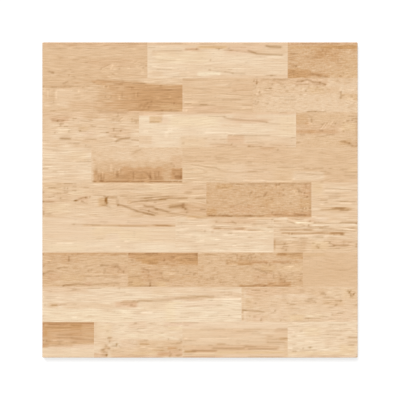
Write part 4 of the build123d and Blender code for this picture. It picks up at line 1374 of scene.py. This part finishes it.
print(POCKETS_PER_SIDE ** 2, "pocket cells")

# %% Rim round the waffle, weld, and hand over two materials
print_finish = bpy.data.materials.new("wood_strip_print")
body_finish = bpy.data.materials.new("bare_fired_body")
outline = add(tile_tree, "GeometryNodeMeshToCurve", {"Mesh": slab, "Selection": edge})
waffle_line = add(tile_tree, "GeometryNodeMeshToCurve", {"Mesh": waffle, "Selection": border})
rim = add(tile_tree, "GeometryNodeFillCurve", {
    "Curve": joined(outline.outputs[0], waffle_line.outputs[0])}, mode="TRIANGLES")
welded = add(tile_tree, "GeometryNodeMergeByDistance", {
    "Geometry": joined(slab, rim.outputs[0], waffle), "Distance": WELD * MM})
whole = add(tile_tree, "GeometryNodeRealizeInstances", {"Geometry": welded.outputs[0]})
printed = add(tile_tree, "GeometryNodeSetMaterial", {
    "Geometry": whole.outputs[0], "Material": print_finish})
arris = sum_of(tile_tree, "SUBTRACT", given["Thickness"], given["Face Edge Radius"])
below = sum_of(tile_tree, "LESS_THAN", apart.outputs["Z"], arris)
bare = add(tile_tree, "GeometryNodeSetMaterial", {
    "Geometry": printed.outputs[0], "Selection": below, "Material": body_finish})
add(tile_tree, "NodeGroupOutput", {0: bare.outputs[0]})
print("tree has", len(tile_tree.nodes), "nodes")

# %% Run the tree and keep its result as a plain mesh
SHARP_ANGLE = 35.0  # edges that turn by more degrees stay crisp
maker = bpy.data.objects.new("tile_maker", bpy.data.meshes.new("tile_maker"))
bpy.context.scene.collection.objects.link(maker)
press = maker.modifiers.new("Pressed tile", "NODES")
press.node_group = tile_tree
for name, value in TILE_INPUTS.items():
    press[sockets[name].identifier] = value
made = maker.evaluated_get(bpy.context.evaluated_depsgraph_get())
mesh = bpy.data.meshes.new_from_object(made)
maker.modifiers.remove(press)
bpy.data.objects.remove(maker)
mesh.materials.pop(index=0)  # the maker's empty slot

shell = bmesh.new()
shell.from_mesh(mesh)
bmesh.ops.recalc_face_normals(shell, faces=shell.faces)
open_edges = sum(1 for e in shell.edges if len(e.link_faces) != 2)
volume = shell.calc_volume(signed=True) / MM ** 3
shell.to_mesh(mesh)
shell.free()
mesh.name = "tile_body"
mesh.shade_smooth()
mesh.set_sharp_from_angle(angle=math.radians(SHARP_ANGLE))
tile = bpy.data.objects.new("tile_body", mesh)
bpy.context.scene.collection.objects.link(tile)
triangles = sum(len(p.vertices) - 2 for p in mesh.polygons)
print(f"tile: {triangles} triangles, {open_edges} open edges, {volume:.0f} mm3")

# %% [markdown]
# ## Painting the print on the mesh
# The face has a vertex every 2 mm along the grain and every 1.25 mm across it, about as fine as
# the marks. So the drawing is painted straight onto the mesh, as attributes on the face corners.
# Corners belong to one face each, so two staves that meet can keep different tones on the same
# line of vertices, and the joint stays as sharp as a printed one.

# %% Corner coordinates on the drawing board
n_faces, n_corners = len(mesh.polygons), len(mesh.loops)
corner_vertex = np.zeros(n_corners, int)
mesh.loops.foreach_get("vertex_index", corner_vertex)
points = np.zeros(len(mesh.vertices) * 3)
mesh.vertices.foreach_get("co", points)
points = points.reshape(-1, 3) / MM
face_corners = np.zeros(n_faces, int)
mesh.polygons.foreach_get("loop_total", face_corners)
centres = np.zeros(n_faces * 3)
mesh.polygons.foreach_get("center", centres)
centres = centres.reshape(-1, 3) / MM
finish_index = np.zeros(n_faces, int)
mesh.polygons.foreach_get("material_index", finish_index)
corner_face = np.repeat(np.arange(n_faces), face_corners)
along = points[corner_vertex, 0] + SIDE / 2
down = SIDE / 2 - points[corner_vertex, 1]
face_along = centres[:, 0] + SIDE / 2
face_down = SIDE / 2 - centres[:, 1]
print(f"{(finish_index == 0).sum()} printed faces, {(finish_index == 1).sum()} bare faces")


# %% Soft random hills, for waves and ragged edges
HILL_COUNT = 64  # hills each way before they repeat


def ease(x):
    """Smooth step from 0 to 1."""
    x = np.clip(x, 0.0, 1.0)
    return x * x * (3 - 2 * x)


def hills(x, y, cell, seed):
    """Soft random hills from -1 to 1, about one for each cell of the given size in mm."""
    heights = np.random.default_rng(seed).uniform(-1, 1, (HILL_COUNT, HILL_COUNT))
    u, v = x / cell[0], y / cell[1]
    i, j = np.floor(u).astype(int), np.floor(v).astype(int)
    fu, fv = ease(u - i), ease(v - j)
    i, j, right, under = (n % HILL_COUNT for n in (i, j, i + 1, j + 1))
    top = heights[i, j] * (1 - fu) + heights[right, j] * fu
    bottom = heights[i, under] * (1 - fu) + heights[right, under] * fu
    return top * (1 - fv) + bottom * fv


sample = hills(along, down, (9, 9), 1)
print(f"hills from {sample.min():.2f} to {sample.max():.2f}")

# %% How much of a stain lies on each corner
RAGGED_CELL = (5, 4)


def weight_of(m, x, y, seed):
    """From 0 outside the stain to 1 at its heart."""
    if m["kind"] == "spot":
        cx, cy, rx, ry = m["box"]
        return np.exp(-((x - cx) / rx) ** 2 - ((y - cy) / ry) ** 2)
    if m["kind"] == "ring":
        cx, cy, rx, ry = m["box"]
        far = np.hypot((x - cx) / rx, (y - cy) / ry)
        return np.exp(-((far - 1) * min(rx, ry) / m["wide"]) ** 2)
    x0, x1, y0, y1 = m["box"]
    soft_x, soft_y = m["soft"]
    shift = m["ragged"] * hills(x, y, RAGGED_CELL, seed)
    top = y0 + m["lean"] * np.clip((x - x0) / (x1 - x0), 0, 1)
    sides = ease((x - x0 + shift) / soft_x + 0.5) * ease((x1 - x + shift) / soft_x + 0.5)
    return sides * ease((y - top + shift) / soft_y + 0.5) * ease((y1 - y + shift) / soft_y + 0.5)


print("kinds of stain:", sorted({m["kind"] for m in marks}))

# %% How much of a pore lies on each corner
PORE_STEP = 1 / 98  # the share of the light that one step of a display takes
PORE_REACH = 2.5  # how many of its widths away a pore still shows
PORE_FADE = 3.0  # the length in mm over which its ends fade
PORE_END = 0.4  # where on the fade its ends lie
LEAST_TAKEN, MOST_TAKEN = -0.45, 0.70


def pore_weight(p, x, y):
    """From 0 beside the pore to 1 on its line, fading towards both of its ends."""
    far = np.full(len(x), np.inf)
    place, length = np.zeros(len(x)), 0.0
    for x0, y0, x1, y1 in zip(p["xs"], p["ys"], p["xs"][1:], p["ys"][1:]):
        run = math.hypot(x1 - x0, y1 - y0)
        share = np.clip(((x - x0) * (x1 - x0) + (y - y0) * (y1 - y0)) / run ** 2, 0, 1)
        gap = np.hypot(x - x0 - share * (x1 - x0), y - y0 - share * (y1 - y0))
        nearer = gap < far
        far, place = np.where(nearer, gap, far), np.where(nearer, length + share * run, place)
        length += run
    if length == 0:
        return np.exp(-((x - p["xs"][0]) ** 2 + (y - p["ys"][0]) ** 2) / p["wide"] ** 2)
    fade = min(PORE_FADE, length / 4)
    ends = ease(PORE_END + place / fade) * ease(PORE_END + (length - place) / fade)
    return np.exp(-(far / p["wide"]) ** 2) * ends


def add_pores(s, x, y, light):
    """Takes the light of every pore whose middle lies on the stave."""
    for p in pores:
        left, right = min(p["xs"]), max(p["xs"])
        middle = min(max((left + right) / 2, 0), SIDE)
        if p["strip"] != s["strip"] or not s["start"] <= middle < s["end"]:
            continue
        reach = PORE_REACH * p["wide"]
        near = np.flatnonzero((x > left - reach) & (x < right + reach)
                              & (y > min(p["ys"]) - reach) & (y < max(p["ys"]) + reach))
        light[near] += p["dark"] * PORE_STEP * pore_weight(p, x[near], y[near])


print(len(pores), "pores, and one step of them takes", round(PORE_STEP, 4), "of the light")

# %% Paint every stave
# Depth, cell in mm and seed of the hills that drift the tone and bend the grain
DRIFT_DEPTH, DRIFT_CELL, DRIFT_SEED = 0.05, (70, 9), 500
LONG_WAVE, LONG_CELL, LONG_SEED = 1.2, (42, 14), 20
SHORT_WAVE, SHORT_CELL, SHORT_SEED = 0.5, (16, 8), 60
STAIN_SEED = 1000
NEXT_ALONG, NEXT_DEEP = 90.0, 7.0  # how far apart two staves read the noise
tone, hue, line_show, burl_show, pore_show = (np.zeros(n_corners) for _ in range(5))
grain = np.zeros((n_corners, 3))
strip_of_face = np.clip(np.searchsorted(STRIP_LINES, face_down) - 1, 0, len(STRIP_LINES) - 2)
for number, s in enumerate(staves):
    mine = (strip_of_face == s["strip"] - 1) & (face_along >= s["start"]) & (face_along < s["end"])
    at = np.flatnonzero(mine[corner_face])
    x, y = along[at], down[at] - STRIP_LINES[s["strip"] - 1]
    paint = s["tone"] + DRIFT_DEPTH * hills(x, y, DRIFT_CELL, DRIFT_SEED + number)
    tint = np.zeros(len(at))
    for k, m in enumerate(marks):
        middle = (m["box"][0] + m["box"][1]) / 2 if m["kind"] == "patch" else m["box"][0]
        if m["strip"] != s["strip"] or not s["start"] <= min(max(middle, 0), SIDE) <= s["end"]:
            continue
        w = weight_of(m, x, y, STAIN_SEED + k) * m["much"]
        paint = paint + (m["to"] - paint) * w
        tint = tint + (m["hue"] - tint) * w
    tone[at], hue[at], line_show[at], burl_show[at] = paint, tint, s["line"], s["burl"]
    taken = np.zeros(len(at))
    add_pores(s, x, y, taken)
    pore_show[at] = np.clip(taken, LEAST_TAKEN, MOST_TAKEN)
    wave = LONG_WAVE * hills(x, y, LONG_CELL, LONG_SEED + number)
    wave = s["wave"] * (wave + SHORT_WAVE * hills(x, y, SHORT_CELL, SHORT_SEED + number))
    deep = np.full(len(at), NEXT_DEEP * number)
    grain[at] = np.stack([x / s["reach"] + NEXT_ALONG * number, y + wave, deep], 1)
print(len(staves), "staves painted")

# %% Store the painted fields on the mesh
painted = {"tone": tone, "hue": hue, "line": line_show, "burl": burl_show, "pore": pore_show}
for name, values in painted.items():
    stored = mesh.attributes.new(name, "FLOAT", "CORNER")
    stored.data.foreach_set("value", values.astype(np.float32))
stored = mesh.attributes.new("grain", "FLOAT_VECTOR", "CORNER")
stored.data.foreach_set("vector", grain.astype(np.float32).ravel())
face_tone = tone[finish_index[corner_face] == 0]
print(f"tone from {face_tone.min():.2f} to {face_tone.max():.2f}, mean {face_tone.mean():.3f}")
print(f"pores take from {pore_show.min():.2f} to {pore_show.max():.2f} of the light")

# %% [markdown]
# ## A map for a baked texture
# The finishes can be baked into one square picture, so the face gets most of that square.
# The face is mapped flat from above, the back flat from below into a corner, and the four sides
# as long bands beside the face.

# %% Lay the face, back and sides out flat
FACE_SHARE = 0.80
BACK_SHARE = 0.18
GAP = 0.008
FACING_DOWN, FACING_OUT = -0.5, 0.7  # parts of a normal that tell the back and the sides
normals = np.zeros(n_faces * 3)
mesh.polygons.foreach_get("normal", normals)
normals = normals.reshape(-1, 3)[corner_face]
px, py, pz = (points[corner_vertex] / SIDE + 0.5 * np.array([1, 1, 0])).T
u, v = GAP + px * FACE_SHARE, GAP + py * FACE_SHARE
is_back = (finish_index[corner_face] == 1) & (normals[:, 2] < FACING_DOWN)
u[is_back] = 1 - GAP - px[is_back] * BACK_SHARE
v[is_back] = GAP + py[is_back] * BACK_SHARE
is_side = (finish_index[corner_face] == 1) & ~is_back
band = THICKNESS / SIDE * FACE_SHARE + GAP
for turn, (across, run) in enumerate(((normals[:, 0], py), (-normals[:, 0], py),
                                      (normals[:, 1], px), (-normals[:, 1], px))):
    these = is_side & (across > FACING_OUT)
    u[these] = 2 * GAP + FACE_SHARE + turn * band + pz[these] * FACE_SHARE
    v[these] = BACK_SHARE + 2 * GAP + run[these] * (1 - BACK_SHARE - 3 * GAP)
uv_map = mesh.uv_layers.new(name="OFBake")
uv_map.data.foreach_set("uv", np.stack([u, v], 1).astype(np.float32).ravel())
print(f"map spans {u.min():.3f} to {u.max():.3f} by {v.min():.3f} to {v.max():.3f}")

# %% [markdown]
# ## The print and its glaze
# A tile print has few inks, so the colour is a short ramp from umber to cream, and the painted
# tone picks the place on it. What is too fine to paint comes from noise that is stretched along
# the grain: soft bands, lines, flecks, fibres as thin as hairs, and short pores like ticks. A
# rounder noise adds speckle and scrolls where there is burl. A picture of wood could be mapped on
# instead, but noise stays sharp close up. The glaze over it is satin: light roughness, and a
# trace of relief that follows the grain.


# %% Helper: a colour as an eye reads it, turned into light
def ink(red, green, blue):
    """Display values from 0 to 255, as the linear colour that shader sockets take."""
    shares = [c / 255 for c in (red, green, blue)]
    return (*[c / 12.92 if c <= 0.04045 else ((c + 0.055) / 1.055) ** 2.4 for c in shares], 1.0)


INKS = {
    UMBER: ink(174, 130, 84),
    CARAMEL: ink(199, 151, 101),
    HONEY: ink(210, 165, 118),
    TAN: ink(218, 180, 138),
    BISCUIT: ink(227, 192, 153),
    STRAW: ink(235, 206, 172),
    CREAM: ink(245, 224, 193),
}
print(len(INKS), "inks from umber to cream")

# %% Helpers for the shaders
NOISE_ROUGHNESS = 0.55


def attribute(tree, name, output):
    """A painted attribute of the mesh, as a socket."""
    return add(tree, "ShaderNodeAttribute", attribute_name=name).outputs[output]


def grain_noise(tree, coordinates, size, detail=0.0, curl=0.0):
    """Noise whose patches are about so long and so wide, centred on zero."""
    scaled = vector_of(tree, "MULTIPLY", coordinates, (1 / size[0], 1 / size[1], 1.0))
    noise = add(tree, "ShaderNodeTexNoise", {
        "Vector": scaled, "Scale": 1.0, "Detail": detail, "Roughness": NOISE_ROUGHNESS, "Distortion": curl})
    return sum_of(tree, "SUBTRACT", noise.outputs[0], 0.5)


def between(tree, value, start, end):
    """0 before the start, 1 after the end, and even in between."""
    return add(tree, "ShaderNodeMapRange", {"Value": value, "From Min": start, "From Max": end}).outputs[0]


def times(tree, a, b):
    """Two sockets or numbers multiplied."""
    return sum_of(tree, "MULTIPLY", a, b)


def ramp(tree, factor, stops):
    """A colour ramp with the given stops."""
    made = add(tree, "ShaderNodeValToRGB", {0: factor})
    elements = made.color_ramp.elements
    places = sorted(stops.items())
    while len(elements) < len(places):
        elements.new(0.5)
    for element, (place, colour) in zip(elements, places):
        element.position = place
        element.color = colour
    return made.outputs["Color"]


print("shader helpers ready")

# %% Grain lines, flecks and fibres
# Each size is a share of the stave's reach along the grain, and millimetres across it
BAND_SIZE, LINE_SIZE, FLECK_SIZE = (2.0, 3.6), (0.7, 1.4), (0.45, 1.5)
HAIR_SIZE, TICK_SIZE = (0.5, 0.34), (0.14, 0.40)
FLECK_EDGE, TICK_EDGE = (0.12, 0.30), (0.16, 0.24)
FLECK_SHARE = 0.15
print_finish.use_nodes = True
shade = print_finish.node_tree
shade.nodes.clear()
coordinates = attribute(shade, "grain", "Vector")
line_amount = attribute(shade, "line", "Fac")
bands = grain_noise(shade, coordinates, BAND_SIZE, detail=1.0)
lines = grain_noise(shade, coordinates, LINE_SIZE)
hairs = grain_noise(shade, coordinates, HAIR_SIZE, detail=1.0)
ticks = between(shade, grain_noise(shade, coordinates, TICK_SIZE), *TICK_EDGE)
flecks = between(shade, grain_noise(shade, coordinates, FLECK_SIZE), *FLECK_EDGE)
flecked = sum_of(shade, "SUBTRACT", lines, times(shade, flecks, FLECK_SHARE))
fine = times(shade, flecked, line_amount)
print("grain:", len(shade.nodes), "nodes")

# %% Speckle and scrolls of the burl
# These sizes are millimetres both ways
SPECKLE_SIZE, SPECKLE_CURL = (2.6, 1.8), 0.6
SCROLL_SIZE, SCROLL_CURL = (7.0, 4.5), 1.2
DARK_EDGE, PALE_EDGE, SCROLL_EDGE = (0.08, 0.20), (-0.08, -0.20), (0.05, 0.0)
DARK_DOT, PALE_DOT, SCROLL_DEPTH = 0.54, 0.50, 0.20
on_tile = add(shade, "ShaderNodeTexCoord").outputs["Object"]
board_place = vector_of(shade, "MULTIPLY", on_tile, (1 / MM, 1 / MM, 1 / MM))
speckle = grain_noise(shade, board_place, SPECKLE_SIZE, curl=SPECKLE_CURL)
curls = sum_of(shade, "ABSOLUTE", grain_noise(shade, board_place, SCROLL_SIZE, curl=SCROLL_CURL))
dark_dots = times(shade, between(shade, speckle, *DARK_EDGE), DARK_DOT)
pale_dots = times(shade, between(shade, speckle, *PALE_EDGE), PALE_DOT)
scrolls = times(shade, between(shade, curls, *SCROLL_EDGE), SCROLL_DEPTH)
figure = sum_of(shade, "SUBTRACT", sum_of(shade, "SUBTRACT", pale_dots, dark_dots), scrolls)
print("grain and burl:", len(shade.nodes), "nodes")

# %% What the grain does to the tone and the light
BAND_DEPTH, LINE_DEPTH = 0.14, 0.60
LINE_SHADE, HAIR_SHADE, TICK_SHADE = 0.20, 0.30, 0.15
FULL_LIGHT = 1.006  # gives back what the ticks take on average
PORE_INK = (0.78, 1.0, 1.30)  # a pore takes more blue than red, so it looks brown
banded = times(shade, times(shade, bands, BAND_DEPTH), line_amount)
drawn = sum_of(shade, "ADD", banded, times(shade, fine, LINE_DEPTH))
drawn = sum_of(shade, "ADD", drawn, times(shade, figure, attribute(shade, "burl", "Fac")))
final_tone = sum_of(shade, "ADD", attribute(shade, "tone", "Fac"), drawn)
light = sum_of(shade, "MULTIPLY_ADD", fine, LINE_SHADE, FULL_LIGHT)
light = sum_of(shade, "MULTIPLY_ADD", hairs, HAIR_SHADE, light)
light = sum_of(shade, "SUBTRACT", light, times(shade, ticks, TICK_SHADE))
pore_ink = add(shade, "ShaderNodeVectorMath", {
    0: PORE_INK, "Scale": attribute(shade, "pore", "Fac")}, operation="SCALE").outputs[0]
left_by_pores = vector_of(shade, "SUBTRACT", (1.0, 1.0, 1.0), pore_ink)
print("grain, burl and pores:", len(shade.nodes), "nodes")

# %% Inks, tint and glaze
AMBER_TINT = (1.0, 0.98, 0.88, 1.0)
NO_TINT = (1.0, 1.0, 1.0, 1.0)
ROSE_TINT = (1.0, 0.95, 0.97, 1.0)
RELIEF_STRENGTH, RELIEF_HEIGHT = 0.06, 0.4 * MM
GLAZE_ROUGHNESS, POLISH = 0.40, -0.25  # pale grain is a little smoother than dark grain
GLAZE_SPECULAR = 0.35
colour = ramp(shade, final_tone, INKS)
tint_place = sum_of(shade, "MULTIPLY_ADD", attribute(shade, "hue", "Fac"), 0.5, 0.5)
tint = ramp(shade, tint_place, {0.0: AMBER_TINT, 0.5: NO_TINT, 1.0: ROSE_TINT})
tinted = add(shade, "ShaderNodeMix", {"Factor": 1.0, 6: colour, 7: tint},
             data_type="RGBA", blend_type="MULTIPLY").outputs[2]
tinted = add(shade, "ShaderNodeVectorMath", {0: tinted, "Scale": light}, operation="SCALE").outputs[0]
tinted = vector_of(shade, "MULTIPLY", tinted, left_by_pores)
relief = add(shade, "ShaderNodeBump", {
    "Strength": RELIEF_STRENGTH, "Distance": RELIEF_HEIGHT, "Height": drawn})
glaze = add(shade, "ShaderNodeBsdfPrincipled", {
    "Base Color": tinted,
    "Roughness": sum_of(shade, "MULTIPLY_ADD", drawn, POLISH, GLAZE_ROUGHNESS),
    "Specular IOR Level": GLAZE_SPECULAR,
    "Normal": relief.outputs[0],
})
add(shade, "ShaderNodeOutputMaterial", {0: glaze.outputs[0]})
print("whole print:", len(shade.nodes), "nodes")

# %% [markdown]
# ## Bare fired body
# The sides and the back aren't glazed. They show the pale, sandy body of the clay, with fine
# dark and light grains, and the ribs carry a thin white wash that keeps the tile from sticking
# to the kiln's rollers. All of it reads Object coordinates, so it stays put on the tile.

# %% Clay grains and the wash on the ribs
GRAIN_SCALE, CLOUD_SCALE = 900.0, 25.0
CLAY_INKS = {
    0.30: ink(176, 152, 124),
    0.45: ink(205, 184, 156),
    0.60: ink(212, 193, 166),
    0.75: ink(226, 211, 188),
}
WASH_INKS = {0.35: ink(222, 212, 196), 0.65: ink(236, 230, 220)}
WASH_FULL, WASH_GONE = 0.05 * MM, 0.25 * MM  # heights above the rib tops
WASH_COVER = 0.8
body_finish.use_nodes = True
clay = body_finish.node_tree
clay.nodes.clear()
on_tile = add(clay, "ShaderNodeTexCoord").outputs["Object"]
grains, clouds = (
    add(clay, "ShaderNodeTexNoise", {"Vector": on_tile, "Scale": scale, "Detail": detail}).outputs[0]
    for scale, detail in ((GRAIN_SCALE, 2.0), (CLOUD_SCALE, 3.0)))
height = add(clay, "ShaderNodeSeparateXYZ", {0: on_tile}).outputs["Z"]
on_rib = add(clay, "ShaderNodeMapRange", {
    "Value": height, "From Min": WASH_FULL, "From Max": WASH_GONE, "To Min": WASH_COVER, "To Max": 0.0})
worn = times(clay, on_rib.outputs[0], clouds)
washed = add(clay, "ShaderNodeMix", {
    "Factor": worn, 6: ramp(clay, grains, CLAY_INKS), 7: ramp(clay, clouds, WASH_INKS)}, data_type="RGBA")
print("clay and wash:", len(clay.nodes), "nodes")

# %% Body, with its grit
GRIT_STRENGTH, GRIT_HEIGHT = 0.25, 0.2 * MM
BODY_ROUGHNESS, BODY_SPECULAR = 0.85, 0.25
grit = add(clay, "ShaderNodeBump", {"Strength": GRIT_STRENGTH, "Distance": GRIT_HEIGHT, "Height": grains})
body = add(clay, "ShaderNodeBsdfPrincipled", {
    "Base Color": washed.outputs[2],
    "Roughness": BODY_ROUGHNESS,
    "Specular IOR Level": BODY_SPECULAR,
    "Normal": grit.outputs[0],
})
add(clay, "ShaderNodeOutputMaterial", {0: body.outputs[0]})
print("whole body:", len(clay.nodes), "nodes")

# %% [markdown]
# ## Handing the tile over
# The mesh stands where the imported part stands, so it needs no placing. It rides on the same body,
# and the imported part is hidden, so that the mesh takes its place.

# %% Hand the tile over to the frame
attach(tile, "root")
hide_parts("tile")

# %% [markdown]
# ## Studio
# The photograph looks straight down on a white ground with even light. A large soft lamp and a
# white sky give that. The floor is white where the camera sees it, but only part of that is its
# own glow, so the soft shadow of the tile's edge still shows on it.

# %% Floor
FLOOR_SIZE = 6.0
floor_mesh = bpy.data.meshes.new("floor")
far = FLOOR_SIZE / 2
floor_corners = [(-far, -far, 0), (far, -far, 0), (far, far, 0), (-far, far, 0)]
floor_mesh.from_pydata(floor_corners, [], [(0, 1, 2, 3)])
studio_floor = bpy.data.objects.new("floor", floor_mesh)
bpy.context.scene.collection.objects.link(studio_floor)
print("floor", FLOOR_SIZE, "m wide")


# %% White ground
def seen(tree):
    """1 for a ray that shows the background: from the camera, or by way of gloss or glass."""
    path = add(tree, "ShaderNodeLightPath")
    first = sum_of(tree, "MAXIMUM", path.outputs["Is Camera Ray"], path.outputs["Is Glossy Ray"])
    return sum_of(tree, "MAXIMUM", first, path.outputs["Is Transmission Ray"])


WHITE = (1.0, 1.0, 1.0, 1.0)
FLOOR_GREY = (0.55, 0.55, 0.55, 1.0)
FLOOR_GLOW = 0.55
white_ground = bpy.data.materials.new("white_ground")
white_ground.use_nodes = True
ground = white_ground.node_tree
ground.nodes.clear()
dull = add(ground, "ShaderNodeBsdfDiffuse", {"Color": FLOOR_GREY})
glow = add(ground, "ShaderNodeEmission", {
    "Color": WHITE, "Strength": times(ground, seen(ground), FLOOR_GLOW)})
both = add(ground, "ShaderNodeAddShader", {0: dull.outputs[0], 1: glow.outputs[0]})
add(ground, "ShaderNodeOutputMaterial", {0: both.outputs[0]})
floor_mesh.materials.append(white_ground)
print("ground glows", FLOOR_GLOW)

# %% Sky and lamp
SKY_LIGHT = 0.62
LAMP_STRENGTH = 1.7
LAMP_SPREAD = math.radians(35)
LAMP_TURN = (math.radians(-42), math.radians(-20), 0.0)
world = bpy.data.worlds.new("white_sky")
bpy.context.scene.world = world
world.use_nodes = True
sky = world.node_tree
sky.nodes.clear()
strength = sum_of(sky, "MAXIMUM", seen(sky), SKY_LIGHT)
background = add(sky, "ShaderNodeBackground", {"Color": WHITE, "Strength": strength})
add(sky, "ShaderNodeOutputWorld", {0: background.outputs[0]})

lamp_data = bpy.data.lights.new("soft_lamp", "SUN")
lamp_data.angle = LAMP_SPREAD
lamp_data.energy = LAMP_STRENGTH
lamp = bpy.data.objects.new("soft_lamp", lamp_data)
lamp.rotation_euler = LAMP_TURN
bpy.context.scene.collection.objects.link(lamp)
print("sky", SKY_LIGHT, "and lamp", LAMP_STRENGTH, "W per square metre")

# %% Camera, straight above the face
TILE_PIXELS, FRAME_PIXELS = 315.5, 400
LENS, SENSOR = 100.0, 36.0
camera_data = bpy.data.cameras.new("camera")
camera_data.lens = LENS
camera_data.sensor_width = SENSOR
camera = bpy.data.objects.new("camera", camera_data)
distance = SIDE * FRAME_PIXELS / TILE_PIXELS * LENS / SENSOR
camera.location = (0.0, 0.0, (distance + THICKNESS) * MM)
bpy.context.scene.collection.objects.link(camera)
bpy.context.scene.camera = camera
bpy.context.scene.view_settings.view_transform = "Standard"
print(f"camera {distance:.0f} mm above the face")
